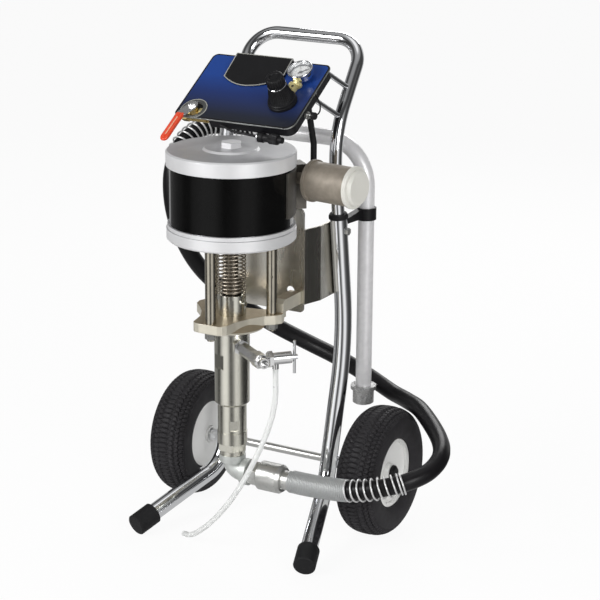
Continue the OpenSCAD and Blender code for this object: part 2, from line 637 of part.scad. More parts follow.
module pump_housing() color([0.72, 0.7, 0.64]) difference() {
    pump_line() difference() {
        union() {
            translate([0, 0, housing_z]) rotate_extrude() polygon([[0, 0], [pump_d / 2 + 1, 0],
                [housing_d / 2, 5], [housing_d / 2, housing_len], [0, housing_len]]);
            translate([0, 0, housing_top - over]) cylinder(r = neck_r, h = plate_top - housing_top + over);
        }
        translate([0, 0, housing_z - over])
            cylinder(d = pump_d + 2 * seat_gap, h = pump_top - housing_z + over);
        translate([0, 0, housing_z]) cylinder(d = pump_bore, h = chamber_top - housing_z);
        cylinder(d = rod_d + 2, h = plate_top + over);
        wrench_flat(-110, housing_d / 2 - 2.5, housing_z + 76, 30, 28);
        wrench_flat(70, housing_d / 2 - 2.5, housing_z + 76, 30, 28);
    }
    at_outlet() cylinder(r = outlet_r + seat_gap, h = housing_d);
}
module pump_cylinder() color([0.74, 0.72, 0.66]) pump_line() difference() {
    translate([0, 0, pump_z]) cylinder(d = pump_d, h = pump_top - pump_z);
    translate([0, 0, pump_z - over]) cylinder(d = pump_bore, h = pump_top - pump_z + 2 * over);
    wrench_flat(-50, pump_d / 2 - 2, pump_z + 6, 24, 20);
    wrench_flat(130, pump_d / 2 - 2, pump_z + 6, 24, 20);
}
intake_len = 48;
intake_z = pump_z - intake_len;
intake_flats = 52;
ball_seat_r = 9;
ball_lift = 8;
ball_rest_z = intake_z + 12 + sqrt(pow(ball_d / 2, 2) - pow(ball_seat_r, 2)) + 0.3;
chamber_h = ball_rest_z - intake_z - 12 + ball_d / 2 + ball_lift + 2;
module intake_housing() color([0.72, 0.7, 0.64]) pump_line() translate([0, 0, intake_z]) difference() {
    union() {
        cylinder(d = pump_d - 8, h = intake_len);
        translate([0, 0, 10]) hex(intake_flats, 14);
        translate([0, 0, 24]) cylinder(d = pump_d + 2, h = intake_len - 24);
    }
    translate([0, 0, -over]) cylinder(r = ball_seat_r, h = intake_len + 2 * over);
    translate([0, 0, 12]) cylinder(d = ball_d + 6, h = chamber_h);
}
module intake_ball() color("silver") pump_line() translate([0, 0, ball_rest_z]) sphere(d = ball_d);
module displacement_rod() color("silver") pump_line() {
    translate([0, 0, pump_z + piston_rest + 10])
        cylinder(d = rod_d, h = coupler_z + coupler_grip - pump_z - piston_rest - 10);
    translate([0, 0, pump_z + piston_rest]) difference() {
        cylinder(d = pump_bore - 2 * run_gap, h = 25);
        for (z = [5, 16]) translate([0, 0, z]) ring(pump_bore, pump_bore / 2 - 3, 4);
    }
}

// ---- outlet, drain valve ----
outlet_len = 150;
bar_flats = 22;
nozzle_d = 20;
drain_flats = 28;
drain_body_d = 23;
port_r = 7;
drain_turn = 48;
drain_at = outlet_len - 24;
drain_len = 62;
barb_at = 32;
module drain_frame() pump_line() rotate([0, 0, outlet_turn]) translate([drain_at, 0, outlet_z])
    rotate([0, 0, drain_turn - outlet_turn]) children();
module outlet_bar() color("gainsboro") difference() {
    union() {
        at_outlet(housing_d / 2 - 8) cylinder(r = outlet_r, h = 24);
        at_outlet(housing_d / 2 + 1) hex(27, 10);
        at_outlet(housing_d / 2 + 10) rotate([0, 0, 30]) hex(bar_flats, outlet_len - housing_d / 2 - 30);
        at_outlet(outlet_len - 40) rotate([0, 0, 30]) hex(bar_flats + 4, 26);
        at_outlet(outlet_len - 15) cylinder(d1 = bar_flats + 4, d2 = nozzle_d, h = 5);
        at_outlet(outlet_len - 11) cylinder(d = nozzle_d, h = 11);
    }
    at_outlet(0) cylinder(r = 4, h = outlet_len - 20);
    at_outlet(outlet_len - 16) cylinder(r = port_r, h = 17);
    drain_frame() along_x() cylinder(r = 5.5, h = 30);
}
module drain_valve() color("gainsboro") difference() {
    union() {
        drain_frame() along_x() cylinder(r = 5.5 - seat_gap, h = 20);
        drain_frame() translate([17, 0, 0]) along_x() hex(drain_flats, 8);
        drain_frame() translate([20, 0, 0]) along_x() cylinder(d = drain_body_d, h = drain_len - 20);
        drain_frame() translate([barb_at, 0, -20]) cylinder(r = 6, h = 12);
        drain_frame() translate([barb_at, 0, -26]) cylinder(r = 4, h = 12);
    }
    drain_frame() translate([10, 0, 0]) along_x() cylinder(r = 3 + run_gap, h = drain_len);
    drain_frame() translate([barb_at, 0, -27]) cylinder(r = 2.5, h = 27);
}
module drain_handle() color("gainsboro") {
    drain_frame() translate([drain_len - 34, 0, 0]) along_x() cylinder(r = 3, h = 44);
    drain_frame() translate([drain_len + side_gap, 0, 0]) along_x() cylinder(r = 5, h = 12);
    drain_frame() translate([drain_len + 7, 0, -32]) cylinder(r = 2.75, h = 64);
}

// ---- inlet fittings ----
inlet_z = 162;
elbow_r = 24;
elbow_d = 40;
elbow_end = 40;
coupler_end = 131;
module at_inlet(x) pump_line() translate([x, 0, inlet_z]) along_x() children();
module inlet_elbow() color("silver") {
    route = [[0, 0, intake_z], [0, 0, inlet_z], [elbow_end, 0, inlet_z]];
    pump_line() difference() {
        union() {
            bar(route, [0, elbow_r, 0], elbow_d);
            translate([0, 0, intake_z - 14]) cylinder(d = elbow_d + 12, h = 14);
            translate([elbow_end - 13, 0, inlet_z]) along_x() cylinder(d = elbow_d + 12, h = 13);
        }
        bar(route, [0, elbow_r, 0], elbow_d - 12, over);
    }
}
module hose_coupler() color("silver") difference() {
    union() {
        at_inlet(elbow_end) cylinder(r = 15, h = 8);
        at_inlet(elbow_end + 6) hex(44, 18);
        at_inlet(elbow_end + 24) rotate_extrude() polygon([[0, 0], [26, 0], [28.5, 3], [28.5, 46],
            [24, 52], [0, 52]]);
        at_inlet(elbow_end + 75) cylinder(r = 19, h = coupler_end - elbow_end - 75);
    }
    at_inlet(elbow_end - over) cylinder(r = 12, h = coupler_end);
}

// ---- suction hose with its spring guards, and the drain tube ----
// Places along the suction hose, from the pump's coupler round behind the
// right wheel and up to the left end of the suction tube
hose_route = [[131, -210, 162], [165, -210, 162], [210, -210, 164], [255, -209, 168],
    [300, -203, 177], [340, -188, 188], [370, -165, 198], [389, -128, 209], [387, -80, 223],
    [352, -20, 233], [276, 62, 246], [222, 106, 245], [173, 134, 246], [112, 144, 268],
    [46, 140, 296], [-25, 142, 316], [-95, 128, 345], [-150, 98, 384], [-190, 56, 434],
    [-216, 10, 492], [-230, -28, 560], [-236, -50, 630], [-236, -50, 698], [-230, -20, 748],
    [-211, 34, 774], [-176, 74, 774], [-148, 88, 772], [-120, 90, 772]];
// Places along the drain tube, from the barb down to the floor
drain_route = [[124.6, -258.5, 404], [125, -259, 380], [126, -261, 350], [122, -264, 315],
    [112, -266, 280], [97, -268, 242], [80, -270, 205], [59, -271, 165], [34, -270, 126],
    [6, -266, 90], [-24, -260, 58], [-54, -252, 32], [-80, -240, 15], [-104, -226, 7]];
hose_curve = curve(hose_route, 1);
drain_curve = curve(drain_route, 2);
guard_curve = curve(hose_route, 6);
guard_dense = 18;
guard_open = 33;
hose_wire = 4;
module suction_hose() color([0.15, 0.15, 0.15]) cart() sweep(hose_curve, hose_d, 12);
module drain_tube() color([0.9, 0.9, 0.88]) cart() sweep(drain_curve, drain_d, 8, [1, 0, 0]);
function coil_on(c, from, to, turns, r, step) = let (t = tangents(c), n = carried(t, [0, 0, 1]))
    [for (k = [0:turns * step]) let (f = from + (to - from) * k / (turns * step),
        i = min(floor(f), len(c) - 2), g = f - i, p = c[i] * (1 - g) + c[i + 1] * g,
        a = 360 * k / step, m = unit(n[i] * (1 - g) + n[i + 1] * g))
        p + r * (m * cos(a) + cross(t[i], m) * sin(a))];
coil_r = hose_d / 2 + hose_wire / 2 + 1.3;
module hose_springs() color("silver") cart() {
    dense = [for (i = [0:guard_dense]) guard_curve[i]];
    ends = concat([dense[0] - [over, 0, 0]], dense,
        [2 * dense[guard_dense] - dense[guard_dense - 1]]);
    difference() {
        sweep(dense, hose_d + 11, 16);
        sweep(ends, hose_d + 2.4, 16);
    }
    sweep(coil_on(guard_curve, guard_dense - 0.4, guard_open, 10, coil_r, 12), hose_wire, 6);
    last = len(guard_curve) - 1;
    sweep(coil_on(guard_curve, last - 20, last - 0.6, 9, coil_r, 12), hose_wire, 6);
}

// ---- suction tube, strainer and hanger ----
suction_x = 130;
suction_y = 90;
suction_top = 772;
suction_low = 262;
suction_left = -120;
suction_bend = 90;
module suction_tube() color("lightgray") cart() {
    pipe([[suction_left, suction_y, suction_top], [suction_x, suction_y, suction_top],
        [suction_x, suction_y, suction_low]], [0, suction_bend, 0], suction_d, suction_wall);
    translate([suction_left, suction_y, suction_top]) along_x()
        ring(suction_d / 2 + 4, suction_d / 2 - 0.5, 22);
}
strainer_len = 38;
module strainer() color("gray") cart() translate([suction_x, suction_y, suction_low - strainer_len + 6])
    rotate_extrude() {
        r = suction_d / 2;
        h = strainer_len;
        polygon([[0, 0], [r + 3, 0], [r + 5.5, 2], [r + 5.5, h - 10], [r + 10, h - 8], [r + 10, h],
            [r, h], [r, h - 6], [r - 2, h - 6], [r - 2, 3], [0, 3]]);
    }
hanger_z = 628;
hanger_side = [[suction_y - suction_d / 2 - 8, hanger_z - 8], [suction_y, hanger_z - 12],
    [suction_y, hanger_z + 12]];
module tube_hanger() color("black") cart() difference() {
    p = on_upright(hanger_z);
    union() {
        translate([p.x - 6, 0, 0]) rotate([90, 0, 90]) linear_extrude(14)
            polygon(concat([[p.y + 8, hanger_z - 4]], hanger_side, [[p.y + 8, hanger_z + 5]]));
        translate([suction_x, suction_y, hanger_z - 12]) cylinder(d = suction_d + 8, h = 24);
    }
    point_along(p - unit(socket_top - upright_bow) * 40, socket_top - upright_bow)
        cylinder(d = side_tube_d, h = 80);
    translate([suction_x, suction_y, hanger_z - 40]) cylinder(d = suction_d, h = 80);
}

// ---- control panel: u across, s up the slope, n out of the sheet ----
panel_y = -208;
corner_r = 12;
low_corner_r = 20;
tray_inset = 4;
tray_wall = 3;
valve_at = [35 - panel_w / 2, 22];
notch = [75 - panel_w / 2, 46];
regulator_at = [panel_w / 2 - 51, 66];
gauge_at = [panel_w / 2 - 43, 137];
hood_at = [-73, 100];
hood_size = [123, 77];
hood_h = 12;
hood_bow = 15;
module on_panel() cart() translate([0, panel_y, panel_z]) rotate([panel_tilt, 0, 0]) children();
// A rectangle w by h with corners of radius r, the lower right one of radius low
function rounded(w, h, r, low = -1, n = 8) = let (l = low < 0 ? r : low)
    [for (q = [[w - l, l, -90, l], [w - r, h - r, 0, r], [r, h - r, 90, r], [r, r, 180, r]], i = [0:n])
    [q[0] + q[3] * cos(q[2] + 90 * i / n), q[1] + q[3] * sin(q[2] + 90 * i / n)]];
module control_panel() color([0.1, 0.25, 0.6]) on_panel() difference() {
    translate([-panel_w / 2, 0, 0]) linear_extrude(panel_t)
        polygon(rounded(panel_w, panel_len, corner_r, low_corner_r));
    translate([valve_at[0], valve_at[1], -over]) cylinder(r = 19, h = panel_t + 2 * over);
    translate([regulator_at[0], regulator_at[1], -over])
        cylinder(r = 20 + seat_gap, h = panel_t + 2 * over);
}
module tray_body(inset, top) {
    w = panel_w - 2 * inset;
    difference() {
        translate([-w / 2, inset, -tray_depth + inset - tray_inset])
            linear_extrude(tray_depth - inset + tray_inset + top)
            polygon(rounded(w, panel_len - 2 * inset, corner_r - inset, low_corner_r - inset));
        translate([-panel_w, -over, -2 * tray_depth])
            cube([panel_w + notch[0] + inset - tray_inset, notch[1] + inset - tray_inset + over,
                4 * tray_depth]);
    }
}
module panel_tray() color([0.12, 0.12, 0.12]) on_panel() difference() {
    tray_body(tray_inset, 0);
    tray_body(tray_inset + tray_wall, over);
    translate([notch[0] - tray_wall, valve_at[1], valve_n]) along_x() cylinder(r = valve_pipe_r, h = 10);
}
module panel_hood() color([0.08, 0.08, 0.08]) on_panel()
    translate([hood_at[0], hood_at[1], panel_t]) linear_extrude(hood_h)
    polygon(concat([hood_size, [0, hood_size[1]]], [for (a = [-90:9:90])
        [hood_size[0] / 2 * (1 + sin(a)), hood_bow * (1 - cos(a))]]));
strut_d = 10;
strut_in = 20;
// Each strut's start up the slope and below the sheet, and its height at the handle
strut_ends = [[panel_len - 4, 8, 887], [panel_len - 66, 22, 838]];
function below_panel(s, n) = [panel_w / 2 - strut_in, panel_y + s * cos(panel_tilt) + n * sin(panel_tilt),
    panel_z + s * sin(panel_tilt) - n * cos(panel_tilt)];
module panel_struts() color("gainsboro") difference() {
    cart() both_sides() {
        for (q = strut_ends)
            bar([below_panel(q[0], q[1]), at_z(handle_knee, handle_corner, q[2])], [0, 0], strut_d);
    }
    on_panel() translate([-panel_w / 2, tray_inset, -tray_depth])
        cube([panel_w, panel_len - 2 * tray_inset, 3 * tray_depth]);
    cart() bar(handle_route, handle_bends, handle_d);
}

// ---- gauge, regulator and ball valve on the panel ----
gauge_h = 22;
gauge_low = 9;
dial_n = panel_t + gauge_low + 4;
lens_t = 2;
module at_gauge(n = 0) on_panel() translate([gauge_at[0], gauge_at[1], n]) children();
module gauge_case() color("gainsboro") at_gauge(panel_t) difference() {
    union() {
        cylinder(r = 9, h = gauge_low + 1);
        translate([0, 0, gauge_low]) cylinder(d = gauge_d, h = gauge_h - gauge_low);
    }
    translate([0, 0, dial_n - panel_t]) cylinder(d = gauge_d - 5, h = gauge_h);
    translate([0, 0, 4]) cylinder(r = 1.5 + run_gap, h = gauge_h);
}
module gauge_needle() color("black") at_gauge(dial_n) {
    translate([0, 0, -8]) cylinder(r = 1.5, h = 11);
    translate([0, 0, 1.5]) cylinder(r = 3, h = 1.5);
    translate([0, 0, 1.5]) rotate([0, 0, 40]) linear_extrude(1)
        polygon([[-6, -1.2], [gauge_d / 2 - 7, -0.4], [gauge_d / 2 - 7, 0.4], [-6, 1.2]]);
}
module gauge_lens() color([0.9, 0.95, 1, 0.4]) at_gauge(panel_t + gauge_h - lens_t - 1)
    cylinder(d = gauge_d - 5, h = lens_t);
fitting_flats = 15;
collar_w = 27;
module up_slope(s) translate([gauge_at[0] - 2, s, panel_t + fitting_flats / 2 + side_gap])
    rotate([-90, 0, 0]) children();
module gauge_fitting() color("goldenrod") on_panel() difference() {
    union() {
        up_slope(regulator_at[1] + 20) cylinder(r = 4.5, h = gauge_at[1] - regulator_at[1] - 30);
        up_slope(gauge_at[1] - 46) hex(fitting_flats, 22);
        up_slope(gauge_at[1] - 32) translate([-collar_w / 2, -fitting_flats / 2, 0])
            cube([collar_w, fitting_flats, 8]);
    }
    translate([gauge_at[0], gauge_at[1], 0]) cylinder(r = 9, h = 60);
    translate([gauge_at[0], gauge_at[1], panel_t + gauge_low]) cylinder(d = gauge_d, h = 60);
    translate([regulator_at[0], regulator_at[1], 0]) cylinder(d = bonnet_d, h = 60);
}
bonnet_ring_h = 12;
bonnet_h = 44;
knob_h = 20;
module at_regulator(n = 0) on_panel() translate([regulator_at[0], regulator_at[1], n]) children();
module regulator_body() color([0.1, 0.1, 0.1]) at_regulator() difference() {
    union() {
        translate([0, 0, -14]) cylinder(r = 20, h = 20);
        translate([0, 0, panel_t]) cylinder(d = bonnet_d, h = bonnet_ring_h);
        translate([0, 0, panel_t + bonnet_ring_h - over])
            cylinder(d1 = bonnet_d - 8, d2 = knob_d, h = bonnet_h - bonnet_ring_h + over);
    }
    translate([0, 0, panel_t + bonnet_h - 16]) cylinder(r = 4 + run_gap, h = 17);
}
module regulator_knob() color([0.1, 0.1, 0.1]) at_regulator(panel_t + bonnet_h + side_gap) {
    translate([0, 0, -14]) cylinder(r = 4, h = 15);
    difference() {
        cylinder(d = knob_d, h = knob_h);
        for (a = [0:20:340]) rotate([0, 0, a]) translate([knob_d / 2 + 0.5, 0, -over])
            cylinder(r = 1.5, h = knob_h + 2 * over, $fn = 16);
    }
}
valve_n = -13;
valve_body_r = 12;
valve_pipe_r = 10;
valve_ball_r = 9;
valve_half = 27;
valve_out = notch[0] - valve_at[0] + tray_wall + 2;
stem_r = 4;
boss_top = 10;
lever_t = 3;
module at_valve() on_panel() translate([valve_at[0], valve_at[1], 0]) children();
module ball_valve_body() color("goldenrod") at_valve() difference() {
    union() {
        translate([-valve_half, 0, valve_n]) along_x() cylinder(r = valve_body_r, h = 2 * valve_half);
        translate([-valve_half, 0, valve_n]) along_x() rotate([0, 0, 30]) hex(24, 12);
        translate([valve_half - 1, 0, valve_n]) along_x()
            cylinder(r = valve_pipe_r - seat_gap, h = valve_out - valve_half + 1);
        translate([0, 0, valve_n]) cylinder(r = 9, h = boss_top - valve_n);
    }
    translate([-valve_half - over, 0, valve_n]) along_x()
        cylinder(r = 6, h = valve_half + valve_out + 2 * over);
    translate([-valve_half - over, 0, valve_n]) along_x() cylinder(r = 8.3, h = 13);
    translate([0, 0, valve_n]) sphere(r = valve_ball_r + run_gap);
    translate([0, 0, valve_n]) cylinder(r = stem_r + run_gap, h = 40);
}
module ball_valve_stem() color("gainsboro") at_valve() {
    difference() {
        union() {
            translate([0, 0, valve_n]) sphere(r = valve_ball_r);
            translate([0, 0, valve_n]) cylinder(r = stem_r, h = boss_top - valve_n + 9);
        }
        translate([0, 0, valve_n]) rotate([90, 0, 0]) cylinder(r = 6, h = 30, center = true);
    }
    translate([0, 0, boss_top + side_gap + lever_t]) hex_ring(12, stem_r, 5);
}
lever_w = 17;
lever_out = 13;
// The lever lies beside its pivot by lever_out and ends in a half round
module ball_valve_lever() color("tomato") at_valve() translate([0, 0, boss_top + side_gap])
    difference() {
        union() {
            cylinder(r = 11, h = lever_t);
            linear_extrude(lever_t) polygon([[-8, 7], [8, -7], [lever_w / 2 - lever_out, -30],
                [lever_w / 2 - lever_out, lever_w / 2 - lever_len],
                [-lever_w / 2 - lever_out, lever_w / 2 - lever_len],
                [-lever_w / 2 - lever_out, -22]]);
            translate([-lever_out, lever_w / 2 - lever_len, 0]) cylinder(d = lever_w, h = lever_t);
        }
        translate([0, 0, -over]) cylinder(r = stem_r, h = lever_t + 2 * over);
    }

// ---- air hose from the panel to the air valve ----
air_hose_d = 12;
module air_hose() color([0.1, 0.1, 0.1]) difference() {
    cart() bar([[panel_w / 2 - 25, -112, 900], [110, -92, 800], [110, -92, 735], [84, -118, 735]],
        [0, 30, 16, 0], air_hose_d);
    on_panel() translate([-panel_w / 2, tray_inset, -tray_depth])
        cube([panel_w, panel_len - 2 * tray_inset, 4 * tray_depth]);
    pump_line() rotate([0, 0, valve_turn]) translate([0, -60, motor_z])
        cube([valve_block_r, 120, 200]);
}

left_side_tube();
right_side_tube();
foot_caps();
axle();
axle_caps();
left_tyre();
right_tyre();
left_rim();
right_rim();
left_bearings();
right_bearings();
handle();
handle_grommets();
frame_bolts();
pump_bracket();
panel_struts();
control_panel();
panel_tray();
panel_hood();
gauge_case();
gauge_needle();
gauge_lens();
gauge_fitting();
regulator_body();
regulator_knob();
ball_valve_body();
ball_valve_stem();
ball_valve_lever();
air_hose();
motor_top_cap();
motor_cylinder();
motor_bottom_cap();
motor_piston();
motor_rod();
rod_coupler();
air_valve_housing();
air_valve_spool();
muffler();
muffler_end_cap();
tie_rods();
adapter_plate();
wet_cup();
spring_guard();
lock_ring();
pump_housing();
pump_cylinder();
intake_housing();
displacement_rod();
intake_ball();
outlet_bar();
drain_valve();
drain_handle();
inlet_elbow();
hose_coupler();
hose_springs();
suction_hose();
drain_tube();
suction_tube();
strainer();
tube_hanger();
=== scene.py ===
"""Airless paint sprayer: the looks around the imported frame.

Metres, Z up, +X to the operator's right, +Y to the back. Places come from the
frame's boxes and joints; routes of the hose and the drain tube repeat part.scad's.
"""
import json
import math

import bmesh
import bpy
from mathutils import Matrix, Vector


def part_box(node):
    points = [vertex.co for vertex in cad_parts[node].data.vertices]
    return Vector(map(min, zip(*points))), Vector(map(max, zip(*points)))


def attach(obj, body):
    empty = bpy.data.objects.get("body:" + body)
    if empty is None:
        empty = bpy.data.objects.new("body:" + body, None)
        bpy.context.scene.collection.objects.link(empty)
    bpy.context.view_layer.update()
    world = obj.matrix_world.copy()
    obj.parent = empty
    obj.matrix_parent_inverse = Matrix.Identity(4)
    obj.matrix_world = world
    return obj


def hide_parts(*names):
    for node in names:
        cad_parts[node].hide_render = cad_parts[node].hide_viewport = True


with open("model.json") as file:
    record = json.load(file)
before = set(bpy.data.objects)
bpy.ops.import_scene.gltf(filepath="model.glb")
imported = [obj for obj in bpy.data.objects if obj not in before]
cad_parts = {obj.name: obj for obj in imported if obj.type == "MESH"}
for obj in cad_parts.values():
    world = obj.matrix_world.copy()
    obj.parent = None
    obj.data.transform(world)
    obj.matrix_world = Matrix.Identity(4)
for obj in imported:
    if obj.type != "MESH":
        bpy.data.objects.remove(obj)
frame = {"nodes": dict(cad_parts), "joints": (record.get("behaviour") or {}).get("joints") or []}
NODES = frame["nodes"]
JOINTS = {j["name"]: j for j in frame["joints"]}
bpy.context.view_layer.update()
FIXED = "cart_frame"
RIGHT = Vector((1, 0, 0))
BACK = Vector((0, 1, 0))
UP = Vector((0, 0, 1))
AXLE = Vector(JOINTS["right_wheel_spin"]["pos_m"])
PUMP = sum(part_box("pump_cylinder"), Vector()) / 2
AT_PUMP = (PUMP.x, PUMP.y, 0)


# ---------------------------------------------------------------- camera
def add_camera():
    """A long lens at the front right, above the panel, with a touch of roll."""
    data = bpy.data.cameras.new("camera")
    data.lens = 116.8
    data.clip_end = 60
    cam = bpy.data.objects.new("camera", data)
    bpy.context.scene.collection.objects.link(cam)
    eye = Vector((1.8457, AXLE.y - 3.2381, 1.5885))
    ahead = Vector((-0.46759, 0.83437, -0.29186))
    roll = math.radians(0.39)
    turn = ahead.to_track_quat("-Z", "Y").to_matrix().to_4x4()
    cam.matrix_world = Matrix.Translation(eye) @ turn @ Matrix.Rotation(roll, 4, "Z")
    bpy.context.scene.camera = cam


add_camera()


# ---------------------------------------------------------------- cords' routes
def cart(points):
    """Places in the cart frame, whose Y = 0 is the wheel axle, as row frame vectors."""
    return [Vector((x, y + AXLE.y, z)) for x, y, z in points]


HOSE_ROUTE = cart([
    (0.131, -0.210, 0.162), (0.165, -0.210, 0.162), (0.210, -0.210, 0.164),
    (0.255, -0.209, 0.168), (0.300, -0.203, 0.177), (0.340, -0.188, 0.188),
    (0.370, -0.165, 0.198), (0.389, -0.128, 0.209), (0.387, -0.080, 0.223),
    (0.352, -0.020, 0.233), (0.276, 0.062, 0.246), (0.222, 0.106, 0.245),
    (0.173, 0.134, 0.246), (0.112, 0.144, 0.268), (0.046, 0.140, 0.296),
    (-0.025, 0.142, 0.316), (-0.095, 0.128, 0.345), (-0.150, 0.098, 0.384),
    (-0.190, 0.056, 0.434), (-0.216, 0.010, 0.492), (-0.230, -0.028, 0.560),
    (-0.236, -0.050, 0.630), (-0.236, -0.050, 0.698), (-0.230, -0.020, 0.748),
    (-0.211, 0.034, 0.774), (-0.176, 0.074, 0.774), (-0.148, 0.088, 0.772),
    (-0.120, 0.090, 0.772)])
DRAIN_ROUTE = cart([
    (0.1246, -0.2585, 0.404), (0.125, -0.259, 0.380), (0.126, -0.261, 0.350),
    (0.122, -0.264, 0.315), (0.112, -0.266, 0.280), (0.097, -0.268, 0.242),
    (0.080, -0.270, 0.205), (0.059, -0.271, 0.165), (0.034, -0.270, 0.126),
    (0.006, -0.266, 0.090), (-0.024, -0.260, 0.058), (-0.054, -0.252, 0.032),
    (-0.080, -0.240, 0.015), (-0.104, -0.226, 0.007)])
HOSE_D = 0.034
DRAIN_D = 0.0105


def smooth(points, steps):
    """A Catmull-Rom curve through the points, steps to each stretch."""
    ends = [2 * points[0] - points[1]] + points + [2 * points[-1] - points[-2]]
    line = []
    for a, b, c, d in zip(ends, ends[1:], ends[2:], ends[3:]):
        for k in range(steps):
            t = k / steps
            line.append(0.5 * (2 * b + (c - a) * t + (2 * a - 5 * b + 4 * c - d) * t * t
                               + (3 * b - a - 3 * c + d) * t ** 3))
    return line + [points[-1]]


def lengths(line):
    """The distance along the line at each of its points."""
    run = [0.0]
    for a, b in zip(line, line[1:]):
        run.append(run[-1] + (b - a).length)
    return run


# ---------------------------------------------------------------- places on the panel
PANEL_N = Vector(JOINTS["pressure_knob_turn"]["axis"])
PANEL_S = PANEL_N.cross(RIGHT)
PANEL_T = 0.0025
PANEL_LOW, PANEL_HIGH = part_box("control_panel")
SLOPE_0 = Vector((0, PANEL_LOW.y + PANEL_T * -PANEL_N.y, PANEL_LOW.z))
PANEL_HALF = (PANEL_HIGH.x - PANEL_LOW.x) / 2
PANEL_LEN = (PANEL_HIGH.z - PANEL_LOW.z - PANEL_T * PANEL_N.z) / PANEL_S.z


def on_panel(u=0.0, s=0.0, n=0.0):
    """A place on the panel: u across, s up the slope, n out of the sheet."""
    return SLOPE_0 + Vector((u, 0, 0)) + PANEL_S * s + PANEL_N * n


def panel_place(joint):
    """(u, s) of a joint that stands on the panel."""
    place = Vector(JOINTS[joint]["pos_m"]) - SLOPE_0
    return place.x, place.dot(PANEL_S)


VALVE_AT = panel_place("air_valve_turn")
REGULATOR_AT = panel_place("pressure_knob_turn")
GAUGE_AT = panel_place("pressure_needle_turn")


# ---------------------------------------------------------------- materials
def nodes_of(owner):
    """The shader nodes and links of a material or a world."""
    owner.use_nodes = True
    return owner.node_tree.nodes, owner.node_tree.links


def maths(nodes, links, operation, *values):
    """The result of a Math node; each value is a socket or a number."""
    node = nodes.new("ShaderNodeMath")
    node.operation = operation
    for k, value in enumerate(values):
        if isinstance(value, (int, float)):
            node.inputs[k].default_value = value
        else:
            links.new(value, node.inputs[k])
    return node.outputs[0]


def vectors(nodes, links, operation, vector, other=None):
    """The Vector Math node that works on a socket and, if given, a fixed vector."""
    node = nodes.new("ShaderNodeVectorMath")
    node.operation = operation
    links.new(vector, node.inputs[0])
    if other is not None:
        node.inputs[1].default_value = other
    return node.outputs


def share_of(nodes, links, value, low, high, soft=False):
    """How far value is from low to high, 0 to 1."""
    node = nodes.new("ShaderNodeMapRange")
    if soft:
        node.interpolation_type = "SMOOTHSTEP"
    node.inputs["From Min"].default_value = low
    node.inputs["From Max"].default_value = high
    links.new(value, node.inputs["Value"])
    return node.outputs["Result"]


def mixed(nodes, links, fac, first, second, blend="MIX"):
    """A colour mix; fac, first and second are sockets or fixed values."""
    mix = nodes.new("ShaderNodeMix")
    mix.data_type = "RGBA"
    mix.blend_type = blend
    for key, value in (("Factor", fac), ("A", first), ("B", second)):
        if isinstance(value, bpy.types.NodeSocket):
            links.new(value, mix.inputs[key])
        else:
            mix.inputs[key].default_value = value
    return mix.outputs["Result"]


def tones(nodes, links, value, marks):
    """A colour ramp over value; marks are (0..1, colour) stops."""
    ramp = nodes.new("ShaderNodeValToRGB")
    for k, (at, color) in enumerate(marks):
        stop = ramp.color_ramp.elements[k] if k < 2 else ramp.color_ramp.elements.new(at)
        stop.position = at
        stop.color = (*color, 1)
    links.new(value, ramp.inputs["Fac"])
    return ramp.outputs["Color"]


def grey(marks):
    """The stops of a ramp whose tones are single numbers."""
    return [(at, (tone, tone, tone)) for at, tone in marks]


